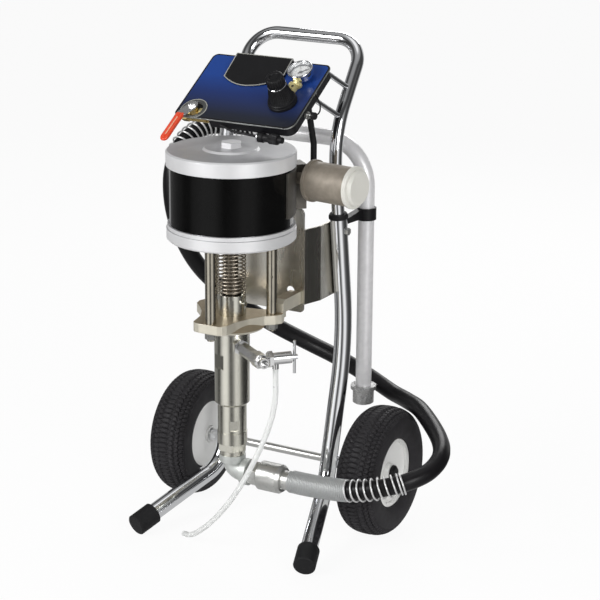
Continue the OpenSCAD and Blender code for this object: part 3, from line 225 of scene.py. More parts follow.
def material(name, color, rough, metal=0.0, blotch=(40, 0.12), worn=(60, 0.08),
             grain=(900, 0.05), stretch=(1, 1, 1), edge=0.0, at=(0, 0, 0), rings=None, **sockets):
    """A Principled material whose colour, gloss and relief vary over the surface.

    blotch, worn and grain are (scale, amount) of the noise in the colour, the
    roughness and the relief. stretch squeezes the grain, edge rounds sharp edges,
    and rings are turning marks (scale, depth) about the vertical through at.
    """
    mat = bpy.data.materials.new(name)
    nodes, links = nodes_of(mat)
    shader = nodes["Principled BSDF"]
    shader.inputs["Metallic"].default_value = metal
    for key, value in sockets.items():
        shader.inputs[key.replace("_", " ")].default_value = value
    coords = nodes.new("ShaderNodeTexCoord")
    place = nodes.new("ShaderNodeMapping")
    place.inputs["Location"].default_value = [-v for v in at]
    links.new(coords.outputs["Object"], place.inputs["Vector"])
    squeeze = nodes.new("ShaderNodeMapping")
    squeeze.inputs["Scale"].default_value = stretch
    links.new(place.outputs["Vector"], squeeze.inputs["Vector"])

    def noise(scale, vector, detail=4):
        """A noise whose grains are about 1 / scale metres across."""
        tex = nodes.new("ShaderNodeTexNoise")
        tex.inputs["Scale"].default_value = scale
        tex.inputs["Detail"].default_value = detail
        links.new(vector.outputs["Vector"], tex.inputs["Vector"])
        return tex

    darker = (*[c * (1 - blotch[1]) for c in color], 1)
    lighter = (*[min(1, c * (1 + blotch[1])) for c in color], 1)
    painted = mixed(nodes, links, noise(blotch[0], place).outputs["Fac"], darker, lighter)
    links.new(painted, shader.inputs["Base Color"])
    gloss = nodes.new("ShaderNodeMapRange")
    gloss.inputs["To Min"].default_value = max(0.02, rough - worn[1])
    gloss.inputs["To Max"].default_value = min(1, rough + worn[1])
    links.new(noise(worn[0], squeeze).outputs["Fac"], gloss.inputs["Value"])
    links.new(gloss.outputs["Result"], shader.inputs["Roughness"])
    bump = nodes.new("ShaderNodeBump")
    bump.inputs["Strength"].default_value = grain[1]
    bump.inputs["Distance"].default_value = 0.001
    links.new(noise(grain[0], squeeze, 2).outputs["Fac"], bump.inputs["Height"])
    last = bump
    if rings:
        wave = nodes.new("ShaderNodeTexWave")
        wave.wave_type = "RINGS"
        wave.rings_direction = "Z"
        wave.inputs["Scale"].default_value = rings[0]
        wave.inputs["Distortion"].default_value = 0.6
        wave.inputs["Detail Scale"].default_value = 3
        links.new(place.outputs["Vector"], wave.inputs["Vector"])
        last = nodes.new("ShaderNodeBump")
        last.inputs["Strength"].default_value = rings[1]
        last.inputs["Distance"].default_value = 0.001
        links.new(wave.outputs["Fac"], last.inputs["Height"])
        links.new(bump.outputs["Normal"], last.inputs["Normal"])
    if edge:
        bevel = nodes.new("ShaderNodeBevel")
        bevel.samples = 4
        bevel.inputs["Radius"].default_value = edge
        links.new(bevel.outputs["Normal"], bump.inputs["Normal"])
    links.new(last.outputs["Normal"], shader.inputs["Normal"])
    return mat


def shade_tops(mat, top_shade, hub=0.0):
    """Painted shade: darkens the colour of the faces that look up, but for what stands within hub
    of the pump's line.
    """
    nodes, links = nodes_of(mat)
    color = nodes["Principled BSDF"].inputs["Base Color"]
    painted = color.links[0].from_socket
    coords = nodes.new("ShaderNodeTexCoord")
    facing = nodes.new("ShaderNodeSeparateXYZ")
    links.new(coords.outputs["Normal"], facing.inputs[0])
    up = share_of(nodes, links, facing.outputs["Z"], 0.6, 0.95, soft=True)
    away = vectors(nodes, links, "SUBTRACT", coords.outputs["Object"], AT_PUMP)["Vector"]
    flat = vectors(nodes, links, "MULTIPLY", away, (1, 1, 0))["Vector"]
    reach = vectors(nodes, links, "LENGTH", flat)["Value"]
    outside = maths(nodes, links, "GREATER_THAN", reach, hub)
    top = maths(nodes, links, "MULTIPLY", up, outside)
    links.new(mixed(nodes, links, top, painted, (*top_shade, 1), "MULTIPLY"), color)
    return mat


DULL = {"Specular_IOR_Level": 0.22}
CHROME = material("chrome", (0.90, 0.91, 0.93), 0.06, 1, (9, 0.05), (35, 0.03), (700, 0.01))
ZINC = material("zinc", (0.62, 0.62, 0.60), 0.3, 0.95, (120, 0.15), (200, 0.08), (1400, 0.12),
                edge=0.0006)
STEEL = material("bright_steel", (0.74, 0.74, 0.74), 0.18, 1, (60, 0.08), (150, 0.06),
                 (1500, 0.05), edge=0.0004)
WIRE = material("spring_wire", (0.80, 0.80, 0.80), 0.3, 0.7, (60, 0.08), (150, 0.06),
                (1500, 0.05))
WOUND = material("wound_guard", (0.47, 0.48, 0.48), 0.42, 0.55, (300, 0.16), (150, 0.06),
                 (1500, 0.1))
STAINLESS = material("stainless_sheet", (0.56, 0.54, 0.49), 0.26, 1, (14, 0.2), (50, 0.08),
                     (600, 0.03), stretch=(1, 1, 0.08), edge=0.0005)
ROD = material("pump_rod_steel", (0.50, 0.465, 0.39), 0.2, 1, (50, 0.2), (150, 0.06),
               (1500, 0.05), edge=0.0005)
OILED = material("oiled_steel", (0.22, 0.19, 0.15), 0.3, 0.9, (90, 0.3), (120, 0.1),
                 (900, 0.1), edge=0.0004)
GUARD = material("guard_wire", (0.46, 0.41, 0.34), 0.3, 0.9, (90, 0.25), (120, 0.1),
                 (900, 0.05))
PLAIN_ZINC = material("plain_zinc", (0.60, 0.62, 0.60), 0.42, 0.6, (90, 0.18), (90, 0.1),
                      (700, 0.3), edge=0.0008)
NICKEL = material("nickel_plate", (0.70, 0.685, 0.61), 0.24, 1, (25, 0.07), (90, 0.06),
                  (900, 0.05), stretch=(0.2, 0.2, 3), edge=0.0012)
# Painted shade: the plated iron and the turned aluminium are darker on their faces that look up.
PLATED_IRON = shade_tops(material("plated_iron", (0.74, 0.70, 0.59), 0.4, 0.6, (45, 0.16),
                                 (80, 0.08), (420, 0.35), edge=0.0016), (0.42, 0.36, 0.28))
CAST = shade_tops(material("turned_aluminium", (0.74, 0.74, 0.75), 0.4, 0.35, (30, 0.05),
                          (70, 0.06), (1200, 0.06), edge=0.0014, at=AT_PUMP, rings=(260, 0.04)),
                 (0.56, 0.56, 0.57), hub=0.0195)
ALUMINIUM = material("bare_aluminium", (0.81, 0.805, 0.815), 0.35, 0.28, (90, 0.12), (60, 0.08),
                     (900, 0.08), stretch=(1, 1, 0.1), edge=0.0005)
SPECKLED = material("speckled_zinc", (0.66, 0.64, 0.58), 0.3, 0.7, (420, 0.9), (120, 0.15),
                    (900, 0.6), edge=0.0006)
EDGE_METAL = material("sheet_edge", (0.52, 0.54, 0.52), 0.3, 0.9, (40, 0.15), (80, 0.1),
                      (900, 0.06), edge=0.0006)
VALVE_PLATE = material("valve_plate", (0.16, 0.165, 0.16), 0.3, 0.7, (90, 0.3), (80, 0.1),
                       (900, 0.1), edge=0.0006)
SHELL = material("motor_shell", (0.62, 0.62, 0.63), 0.22, 1, (20, 0.06), (40, 0.05),
                 (600, 0.03), stretch=(1, 1, 0.1))
LABEL = material("label_black", (0.0035, 0.0035, 0.0035), 0.14, 0, (20, 0.3), (30, 0.04),
                 (300, 0.01), Specular_IOR_Level=0.12)
DARK_CAST = material("dark_cast", (0.13, 0.12, 0.105), 0.45, 0.6, (60, 0.25), (90, 0.1),
                     (500, 0.35), edge=0.001)
MUFFLER = material("muffler_paint", (0.28, 0.245, 0.20), 0.5, 0.3, (70, 0.34), (60, 0.1),
                   (650, 0.3), edge=0.0008)
PALE = material("pale_moulding", (0.66, 0.65, 0.60), 0.42, 0, (20, 0.06), (50, 0.06),
                (900, 0.08), edge=0.0012)
BRASS = material("brass", (0.78, 0.60, 0.25), 0.26, 1, (80, 0.15), (150, 0.1), (900, 0.1),
                 edge=0.0006)
PALE_BRASS = material("pale_brass", (0.80, 0.70, 0.34), 0.3, 0.6, (80, 0.15), (150, 0.1),
                      (900, 0.1), edge=0.0008)
WHITE_PAINT = material("white_paint", (0.93, 0.93, 0.91), 0.24, 0.08, (14, 0.03), (40, 0.06),
                       (400, 0.03), edge=0.001, Coat_Weight=1.0, Coat_Roughness=0.12)
PANEL_BLACK = material("black_trim", (0.012, 0.012, 0.014), 0.35, 0, (40, 0.15), (80, 0.1),
                       (900, 0.08), edge=0.001, **DULL)
PLASTIC = material("black_plastic", (0.010, 0.010, 0.011), 0.4, 0, (60, 0.2), (120, 0.1),
                   (1300, 0.12), edge=0.0008, **DULL)
RUBBER = material("black_rubber", (0.012, 0.012, 0.013), 0.6, 0, (40, 0.25), (80, 0.1),
                  (900, 0.2), edge=0.001, **DULL)
TYRE = material("tyre_rubber", (0.028, 0.0265, 0.029), 0.6, 0, (35, 0.3), (60, 0.1),
                (700, 0.25), **DULL)
HOSE = material("hose_rubber", (0.008, 0.0075, 0.0085), 0.34, 0, (30, 0.25), (60, 0.08),
                (500, 0.12), **DULL)
RED = material("red_grip", (0.76, 0.065, 0.018), 0.3, 0, (60, 0.1), (90, 0.08), (800, 0.1),
               Coat_Weight=0.3)
# Painted highlight: the pale orange of the shine along the lever grip's channel.
RED_HIGHLIGHT = material("grip_painted_highlight", (0.86, 0.42, 0.28), 0.2, 0, (60, 0.2), (90, 0.08),
                     (800, 0.1))
NEEDLE = material("needle_black", (0.01, 0.01, 0.01), 0.5, 0, (80, 0.1), (80, 0.05), (900, 0.02))
DIAL = material("dial_white", (0.86, 0.86, 0.84), 0.4, 0, (60, 0.02), (60, 0.05), (900, 0.01))
CLEAR_TUBE = material("clear_tube", (0.95, 0.96, 0.95), 0.3, 0, (30, 0.03), (60, 0.08),
                      (500, 0.05), Transmission_Weight=0.35, IOR=1.2)
# Pale grey for the ring round the valve; along the lid's top edge the same pale strip is a
# painted highlight.
PALE_LINE = material("pale_line", (0.36, 0.36, 0.33), 0.4, 0, (60, 0.05), (60, 0.05), (900, 0.02))
LENS = material("lens", (0.95, 0.97, 1.0), 0.04, 0, (10, 0.01), (20, 0.01), (200, 0.01),
                Alpha=0.12)


def panel_blue():
    """Satin blue that darkens to near black towards the panel's lower edge."""
    mat = material("panel_blue", (1, 1, 1), 0.32, 0, (25, 0.05), (50, 0.05), (700, 0.03),
                   Specular_IOR_Level=0.3)
    nodes, links = nodes_of(mat)
    color = nodes["Principled BSDF"].inputs["Base Color"]
    painted = color.links[0].from_socket
    coords = nodes.new("ShaderNodeTexCoord")
    slope = vectors(nodes, links, "DOT_PRODUCT", coords.outputs["Object"], PANEL_S)["Value"]
    blue = tones(nodes, links, share_of(nodes, links, slope, 0, PANEL_LEN), [
        (0.0, (0.0165, 0.0185, 0.023)), (0.10, (0.016, 0.020, 0.036)),
        (0.22, (0.0165, 0.027, 0.085)), (0.36, (0.014, 0.033, 0.145)),
        (0.58, (0.0135, 0.056, 0.275)), (1.0, (0.0135, 0.060, 0.29))])
    links.new(mixed(nodes, links, 1, painted, blue, "MULTIPLY"), color)
    return mat


BLUE = panel_blue()

NODE_FINISH = {
    CHROME: ["left_side_tube", "right_side_tube", "handle", "panel_struts", "gauge_case",
             "drain_handle"],
    ZINC: ["axle", "frame_bolts", "hose_coupler", "left_bearings", "right_bearings"],
    SPECKLED: ["strainer"],
    PLAIN_ZINC: ["inlet_elbow"],
    STEEL: ["outlet_bar", "drain_valve", "ball_valve_stem", "intake_ball", "air_valve_spool",
            "ball_valve_lever"],
    GUARD: ["spring_guard"],
    ROD: ["tie_rods"],
    OILED: ["rod_coupler", "motor_rod", "displacement_rod"],
    EDGE_METAL: ["control_panel"],
    STAINLESS: ["pump_bracket"],
    NICKEL: ["pump_housing", "pump_cylinder", "intake_housing", "wet_cup", "lock_ring"],
    PLATED_IRON: ["adapter_plate"],
    CAST: ["motor_top_cap", "motor_bottom_cap"],
    SHELL: ["motor_cylinder"],
    DARK_CAST: ["air_valve_housing"],
    MUFFLER: ["muffler"],
    PALE: ["muffler_end_cap"],
    BRASS: ["ball_valve_body"],
    PALE_BRASS: ["gauge_fitting"],
    WHITE_PAINT: ["left_rim", "right_rim"],
    PANEL_BLACK: ["panel_tray"],
    ALUMINIUM: ["suction_tube", "motor_piston"],
    PLASTIC: ["axle_caps", "tube_hanger", "panel_hood", "regulator_body", "regulator_knob"],
    RUBBER: ["foot_caps", "handle_grommets", "air_hose"],
    NEEDLE: ["gauge_needle"],
    LENS: ["gauge_lens"],
}
for finish, names in NODE_FINISH.items():
    for name in names:
        for place in NODES[name].material_slots:
            place.link = "OBJECT"
            place.material = finish


# ---------------------------------------------------------------- building blocks
def link(obj, mat, body, replaces=()):
    """Puts a piece in the scene with its finish and its body."""
    if obj.name not in bpy.context.scene.collection.objects:
        bpy.context.scene.collection.objects.link(obj)
    obj.data.materials.append(mat)
    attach(obj, body)
    if replaces:
        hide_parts(*replaces)
    return obj


def mesh_piece(name, points, faces):
    """A smooth-shaded mesh whose faces look outwards."""
    mesh = bpy.data.meshes.new(name)
    mesh.from_pydata([tuple(p) for p in points], [], faces)
    mesh.validate()
    bm = bmesh.new()
    bm.from_mesh(mesh)
    bmesh.ops.recalc_face_normals(bm, faces=bm.faces)
    bm.to_mesh(mesh)
    bm.free()
    for face in mesh.polygons:
        face.use_smooth = True
    return bpy.data.objects.new(name, mesh)


def sharpen(obj, degrees=35):
    """Smooth shading that stays crisp at edges steeper than this."""
    obj.data.set_sharp_from_angle(angle=math.radians(degrees))
    return obj


def frame_at(origin, z_axis, x_hint=RIGHT):
    """A matrix whose Z lies along z_axis, with X as near to x_hint as it can be."""
    z = Vector(z_axis).normalized()
    y = z.cross(x_hint).normalized()
    x = y.cross(z)
    m = Matrix((x, y, z)).transposed().to_4x4()
    m.translation = origin
    return m


def tube(name, line, radius, resolution=6):
    """A round tube or wire as a curve of one open spline."""
    data = bpy.data.curves.new(name, "CURVE")
    data.dimensions = "3D"
    data.bevel_depth = radius
    data.bevel_resolution = resolution
    data.use_fill_caps = True
    spline = data.splines.new("POLY")
    spline.points.add(len(line) - 1)
    for point, place in zip(spline.points, line):
        point.co = (*place, 1)
    spline.use_smooth = True
    return bpy.data.objects.new(name, data)


def ring_mesh(name, rows, caps=()):
    """A mesh of closed rings of points; caps are rows closed by a face, without caps it loops."""
    count = len(rows[0])
    last = len(rows) - 1 if caps else len(rows)
    faces = []
    for a in range(last):
        b = (a + 1) % len(rows)
        faces += [(a * count + i, a * count + (i + 1) % count, b * count + (i + 1) % count,
                   b * count + i) for i in range(count)]
    faces += [tuple(range(row * count, (row + 1) * count)) for row in caps]
    return mesh_piece(name, [point for row in rows for point in row], faces)


def lathe(name, profile, where, around=96, wobble=None):
    """Turns a closed profile of (radius, height) about where's Z axis.

    wobble(turn, radius, height) may return another radius at a share of the full turn.
    """
    def row(turn):
        """The profile at a share of the full turn."""
        a = 2 * math.pi * turn
        shape = [(wobble(turn, r, h) if wobble else r, h) for r, h in profile]
        return [where @ Vector((r * math.cos(a), r * math.sin(a), h)) for r, h in shape]

    return ring_mesh(name, [row(k / around) for k in range(around)])


def flat_shape(name, outlines, thick, where):
    """A thin plate from closed outlines in where's XY plane; inner outlines are holes."""
    data = bpy.data.curves.new(name, "CURVE")
    data.dimensions = "2D"
    data.fill_mode = "BOTH"
    data.extrude = thick / 2
    for outline in outlines:
        spline = data.splines.new("POLY")
        spline.points.add(len(outline) - 1)
        for point, (x, y) in zip(spline.points, outline):
            point.co = (x, y, 0, 1)
        spline.use_cyclic_u = True
    obj = bpy.data.objects.new(name, data)
    obj.matrix_world = where
    return obj


def rounded(x0, x1, y0, y1, r, low_right=None, steps=8):
    """The outline of a rectangle with round corners, of another radius at its low right."""
    first = low_right or r
    turns = [(x1 - first, y0 + first, -90, first), (x1 - r, y1 - r, 0, r),
             (x0 + r, y1 - r, 90, r), (x0 + r, y0 + r, 180, r)]
    return [(x + q * math.cos(math.radians(a + 90 * i / steps)),
             y + q * math.sin(math.radians(a + 90 * i / steps)))
            for x, y, a, q in turns for i in range(steps + 1)]


def circle(x, y, r, steps=40):
    """The outline of a circle."""
    turns = [2 * math.pi * k / steps for k in range(steps)]
    return [(x + r * math.cos(a), y + r * math.sin(a)) for a in turns]


# ---------------------------------------------------------------- hose, springs, drain tube
def along(line, run, s):
    """The place and the direction at the distance s along a line."""
    i = 0
    while i < len(run) - 2 and run[i + 1] < s:
        i += 1
    step = line[i + 1] - line[i]
    t = (s - run[i]) / (run[i + 1] - run[i])
    return line[i] + step * t, step.normalized()


def helix(line, start, end, radius, turns, per_turn=14):
    """A coil about a line; turns maps 0..1 along it to the turns made so far."""
    run = lengths(line)
    count = int(turns(1) * per_turn)
    side = UP
    coil = []
    for k in range(count + 1):
        f = k / count
        place, ahead = along(line, run, start + (end - start) * f)
        side = (side - side.dot(ahead) * ahead).normalized()
        a = 2 * math.pi * turns(f)
        coil.append(place + radius * (side * math.cos(a) + ahead.cross(side) * math.sin(a)))
    return coil


# The springs' wire, and the radii of their coils: wound tight, its core, and open
GUARD_WIRE = 0.0036
WOUND_R = HOSE_D / 2 + 0.0034
CORE_R = HOSE_D / 2 + 0.0022
OPEN_R = HOSE_D / 2 + GUARD_WIRE / 2 + 0.0018
OPEN_OVERLAP = 0.002
# Curve points to each stretch of the route, and the stretches that the near springs cover
HOSE_STEPS = 10
WOUND_STRETCHES, OPEN_STRETCHES = 3, 5.5
WOUND_TURNS, FAR_TURNS = 33, 16.5
FAR_LENGTH, FAR_GAP = 0.215, 0.004
ROUND_STEPS = 24


def open_turns(f):
    """Nearly eight wide turns, then two that close up at the end."""
    return 7.7 * min(1, f / 0.9) + 2 * max(0, (f - 0.9) / 0.1)


def add_hose():
    """The hose, its wound and open springs at the pump and an open one at the far end."""
    line = smooth(HOSE_ROUTE, HOSE_STEPS)
    run = lengths(line)
    wound_end = run[WOUND_STRETCHES * HOSE_STEPS]
    open_end = run[int(OPEN_STRETCHES * HOSE_STEPS)]
    hose = tube("suction_hose_rubber", line, HOSE_D / 2, 8)
    link(hose, HOSE, FIXED, ["suction_hose"])
    wound = tube("guard_wound", helix(line, 0.001, wound_end, WOUND_R,
                                      lambda f: WOUND_TURNS * f), GUARD_WIRE / 2, 3)
    link(wound, WOUND, FIXED, ["hose_springs"])
    loose = tube("guard_open", helix(line, wound_end - OPEN_OVERLAP, open_end, OPEN_R,
                                     open_turns, ROUND_STEPS), GUARD_WIRE / 2, 3)
    link(loose, WIRE, FIXED)
    sleeve = tube("guard_sleeve", [p for p, s in zip(line, run) if s < wound_end], CORE_R, 8)
    link(sleeve, WOUND, FIXED)
    far = tube("guard_far", helix(line, run[-1] - FAR_LENGTH, run[-1] - FAR_GAP, OPEN_R,
                                  lambda f: FAR_TURNS * f, ROUND_STEPS), GUARD_WIRE / 2, 3)
    link(far, WIRE, FIXED)


def add_drain_tube():
    """The clear tube from the drain valve to just above the floor."""
    line = smooth(DRAIN_ROUTE, 8)
    piece = tube("drain_tube_clear", line, DRAIN_D / 2, 6)
    link(piece, CLEAR_TUBE, FIXED, ["drain_tube"])


add_hose()
add_drain_tube()


def add_spring_guard():
    """The round wire guard between the packing nut and the motor."""
    low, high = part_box("spring_guard")
    wire = 0.0031
    turns = 15
    r = (high.x - low.x) / 2 - wire / 2
    pitch = (high.z - low.z - wire) / turns
    start = Vector((PUMP.x, PUMP.y, low.z + wire / 2))
    line = []
    for k in range(ROUND_STEPS * turns + 1):
        a = 2 * math.pi * k / ROUND_STEPS
        line.append(start + Vector((r * math.cos(a), r * math.sin(a), pitch * k / ROUND_STEPS)))
    link(tube("guard_coil", line, wire / 2, 3), GUARD, FIXED, ["spring_guard"])


add_spring_guard()


def add_motor_label():
    """The plain black sheet round the front of the motor's bright shell."""
    low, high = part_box("motor_cylinder")
    gap, inside, outside = 0.0006, 0.0001, 0.0006
    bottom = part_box("motor_bottom_cap")[1].z + gap
    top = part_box("motor_top_cap")[0].z - gap
    r = (high.x - low.x) / 2
    start, sweep, steps = -133, 143, 72
    section = [(r + inside, bottom), (r + outside, bottom), (r + outside, top), (r + inside, top)]
    turns = [math.radians(start + sweep * k / steps) for k in range(steps + 1)]
    rows = [[Vector((PUMP.x + q * math.cos(a), PUMP.y + q * math.sin(a), z))
             for q, z in section] for a in turns]
    label = ring_mesh("motor_label", rows, caps=(0, steps))
    link(sharpen(label), LABEL, FIXED)


add_motor_label()


# ---------------------------------------------------------------- tyres
# Where the grooves between the rows of blocks lie across the tread, from -1 to 1
TREAD_EDGES = (-1.0, -0.72, -0.44, -0.15, 0.15, 0.44, 0.72, 1.0)
TREAD_REACH = math.radians(64)
TREAD_DEPTH = 0.0034
BLOCKS = 78
# Half widths of the grooves and of the slots between blocks, and how steep their walls are
GROOVE, SLOT, STEEPNESS = 0.05, 0.17, 1.8
SWAY = 0.035
BEAD_R, FLANGE_R, FLANGE_X = 0.0663, 0.0697, 0.0265
FULLNESS = 0.75
# Raised rings on the side walls, as shares of the tread's reach
WALL_RIDGES = ((1.12, 1.2), (1.62, 1.67))
RIDGE_H = 0.0009
TYRE_STEPS, TREAD_STEPS, WALL_STEPS = 468, 52, 36


def zigzag(u):
    """1 at whole numbers, -1 half way between them."""
    return abs((u % 1) * 4 - 2) - 1


def tread_cut(u, v):
    """Depth of the tread's grooves, 0 to 1, at u turns round and v across, -1 to 1."""
    sway = SWAY * zigzag(u * BLOCKS)
    gap = min(abs(v - edge - sway) for edge in TREAD_EDGES[1:-1])
    depth = 1 - gap / GROOVE
    row = sum(v > edge + sway for edge in TREAD_EDGES)
    phase = (u * BLOCKS + 0.5 * (row % 2) + 0.5 * abs(v)) % 1
    depth = max(depth, 1 - min(phase, 1 - phase) / SLOT)
    return min(1, max(0, depth * STEEPNESS))


def fuller(value):
    """A sine or cosine drawn out, so that the tyre's section is fuller than round."""
    return math.copysign(abs(value) ** FULLNESS, value)


def add_tyre(name):
    """A tyre with its tread, round the bead that sits in the rim."""
    low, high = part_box(name + "_tyre")
    centre = Vector(JOINTS[name + "_wheel_spin"]["pos_m"])
    centre.x = (low.x + high.x) / 2
    outer, inner = (high.z - low.z) / 2, 0.062
    half_w = (high.x - low.x) / 2
    mid, swell = (outer + inner) / 2, (outer - inner) / 2
    tread = [TREAD_REACH * (-1 + 2 * k / TREAD_STEPS) for k in range(TREAD_STEPS + 1)]
    wall = [TREAD_REACH + (2 * math.pi - 2 * TREAD_REACH) * k / WALL_STEPS
            for k in range(1, WALL_STEPS)]

    def place(u, t):
        """The surface u turns round the wheel and at the angle t round the section."""
        t = math.remainder(t, 2 * math.pi)
        c, s = math.cos(t), math.sin(t)
        r = mid + swell * fuller(c)
        x = half_w * fuller(s)
        reach = abs(t) / TREAD_REACH
        if reach <= 1:
            cut = tread_cut(u, t / TREAD_REACH) * TREAD_DEPTH
            r -= cut * max(0.25, c)
            x -= cut * s * 0.8
        elif any(start < reach < end for start, end in WALL_RIDGES):
            x += math.copysign(RIDGE_H, s)
        r = max(r, FLANGE_R if abs(x) > FLANGE_X else BEAD_R)
        a = 2 * math.pi * u
        return centre + Vector((x, -r * math.sin(a), r * math.cos(a)))

    rows = [[place(k / TYRE_STEPS, t) for t in tread + wall] for k in range(TYRE_STEPS)]
    tyre = ring_mesh(name + "_tyre_tread", rows)
    link(sharpen(tyre, 40), TYRE, name + "_wheel", [name + "_tyre"])


add_tyre("right")
add_tyre("left")


# ---------------------------------------------------------------- control panel
PANEL_RIM = 0.0035
FACE_T, RIM_T, PLATE_T = 0.0006, 0.0007, 0.0004
# Radii of the panel's corners, the one at its low right apart
PANEL_ROUND, PANEL_ROUND_LOW = 0.0125, 0.0205
REGULATOR_HOLE_R = 0.0205
VALVE_RING_R, VALVE_PLATE_R = 0.0272, 0.0256
# How near the panel's lower edge the ring round the valve comes
LOWEST_S = 0.0012


def panel_sheet(name, outlines, low, thick, mat):
    """A thin sheet on the panel, its underside at the height low."""
    where = frame_at(on_panel(n=low + thick / 2), PANEL_N)
    return link(flat_shape(name, outlines, thick, where), mat, FIXED)


def add_panel_face():
    """A black rim round the blue face, and a bare grey ring round the ball valve."""
    def edge(inset):
        """The panel's outline, moved in by inset."""
        return rounded(inset - PANEL_HALF, PANEL_HALF - inset, inset, PANEL_LEN - inset,
                       PANEL_ROUND - inset, PANEL_ROUND_LOW - inset)

    def ring(r):
        """A circle round the ball valve, cut short at the panel's lower edge."""
        lowest = LOWEST_S + (VALVE_RING_R - r) * 0.5
        return [(u, max(s, lowest)) for u, s in circle(*VALVE_AT, r, 72)]

    valve_r = VALVE_AT[1] - PANEL_RIM - 0.0003
    holes = [circle(*VALVE_AT, valve_r), circle(*REGULATOR_AT, REGULATOR_HOLE_R)]
    on_rim = PANEL_T + RIM_T
    panel_sheet("panel_face", [edge(PANEL_RIM), *holes], PANEL_T, FACE_T, BLUE)
    panel_sheet("panel_rim", [edge(0.0007), edge(PANEL_RIM + 0.0001)], PANEL_T, RIM_T,
                PANEL_BLACK)
    panel_sheet("valve_ring", [ring(VALVE_RING_R), ring(VALVE_PLATE_R)], on_rim, RIM_T,
                PALE_LINE)
    panel_sheet("valve_plate", [ring(VALVE_PLATE_R + 0.0001),
                                circle(*VALVE_AT, valve_r + 0.0002, 64)],
                on_rim, PLATE_T, VALVE_PLATE)


add_panel_face()


def add_hood():
    """The black lid, low at its bowed front edge and higher at the back, with a pale strip round
    its top edge that is a painted highlight.
    """
    left, right, low, top = -0.0745, 0.0485, 0.0973, 0.1772
    dip, bow_left, bow_right, steps = -0.025, 7.5, 5.0, 30
    front_h, rise = 0.0022, 0.0065

    def outline(grow):
        """The lid's edge, moved out by grow, as (u, s) round from its top left corner."""
        arc = []
        for k in range(steps + 1):
            u = left + (right - left) * k / steps
            bow = bow_left if u < dip else bow_right
            side = {0: -grow, steps: grow}.get(k, 0)
            arc.append((u + side, low - grow + bow * (u - dip) ** 2))
        back = top + min(0, grow)
        return [(left - grow, back), *arc, (right + grow, back)]

    def layer(grow, share, lift=0.0):
        """The outline at a share of the lid's height above the panel."""
        base = PANEL_T + 0.0008 + lift
        return [on_panel(u, s, base + share * (front_h + rise * (s - low) / (top - low)))
                for u, s in outline(grow)]

    lid = ring_mesh("lid", [layer(0, 0), layer(0, 0.8), layer(-0.0006, 1)], caps=(0, 2))
    link(sharpen(lid, 30), PLASTIC, FIXED, ["panel_hood"])
    # Painted highlight: a pale strip along the lid's top edge, where the edge catches light.
    rim = ring_mesh("lid_edge_highlight", [layer(0.0004, 0.75), layer(0.0004, 1, 0.0002),
                                layer(-0.0016, 1, 0.0002), layer(-0.0016, 1, -0.0003)])
    link(sharpen(rim, 30), PALE_LINE, FIXED)


add_hood()


def fluted(u, r, count, depth):
    """A radius with count grooves, each twice depth deep, at u turns round."""
    return r - depth * (1 + math.cos(count * 2 * math.pi * u))


def flats(u, r, h):
    """A hexagon's radius at u turns round, for what is wider than 6 mm."""
    turn = (u * 360 + 30) % 60 - 30
    return r * math.cos(math.radians(30)) / math.cos(math.radians(turn)) if r > 0.006 else r


def add_fittings():
    """What hangs below the panel: a rod and a ribbed black union with a bright collar."""
    union_from, union_to = (0.056, -0.006, -0.0205), (0.110, -0.010, -0.0185)
    rod = [on_panel(-0.030, 0.004, -0.012), on_panel(-0.004, -0.003, -0.017),
           on_panel(0.058, -0.006, -0.0205)]
    link(tube("supply_rod", rod, 0.0026, 5), PLASTIC, FIXED)
    where = frame_at(on_panel(*union_from), on_panel(*union_to) - on_panel(*union_from), UP)
    union = [(0.0002, 0), (0.0088, 0), (0.0098, 0.001), (0.0098, 0.010), (0.0088, 0.0115),
             (0.0074, 0.0118), (0.0074, 0.0225), (0.0092, 0.0230), (0.0100, 0.0245),
             (0.0100, 0.0415), (0.0088, 0.0430), (0.0060, 0.0435), (0.0060, 0.052),
             (0.0002, 0.052)]

    def ribs(u, r, h):
        """Grooves round the union's wide end."""
        return fluted(u, r, 26, 0.0005) if 0.024 < h < 0.042 else r

    link(sharpen(lathe("supply_union", union, where, 156, ribs)), PLASTIC, FIXED)
    collar = [(0.0090, -0.003), (0.0104, -0.0024), (0.0106, -0.0004), (0.0100, 0.0002),
              (0.0030, 0.0002), (0.0030, -0.003)]
    link(sharpen(lathe("supply_collar", collar, where)), CHROME, FIXED)


def add_side_cable():
    """The fitting at the panel's right edge, with a thin cable looped back to it."""
    where = frame_at(on_panel(0.1255, 0.058, -0.014), RIGHT, BACK)
    nut = [(0.0002, 0), (0.0072, 0), (0.0080, 0.0008), (0.0080, 0.0048), (0.0068, 0.0056),
           (0.0052, 0.0058), (0.0052, 0.0120), (0.0002, 0.0120)]
    link(sharpen(lathe("side_nut", nut, where, 72, flats)), ZINC, FIXED)
    body = [(0.0002, 0.0121), (0.0058, 0.0121), (0.0070, 0.0135), (0.0070, 0.0200),
            (0.0060, 0.0215), (0.0002, 0.0215)]
    link(sharpen(lathe("side_plug", body, where, 48)), PLASTIC, FIXED)
    loop = smooth([on_panel(0.1245, 0.105, -0.004), on_panel(0.130, 0.101, -0.006),
                   on_panel(0.139, 0.092, -0.012), on_panel(0.1445, 0.080, -0.017),
                   on_panel(0.1455, 0.070, -0.018), on_panel(0.1440, 0.0615, -0.0145)], 8)
    link(tube("side_cable", loop, 0.0014, 4), PLASTIC, FIXED)
    foot = tube("cable_foot", [on_panel(0.1246, s, -0.0045) for s in (0.109, 0.101)], 0.0026, 4)
    link(foot, ZINC, FIXED)


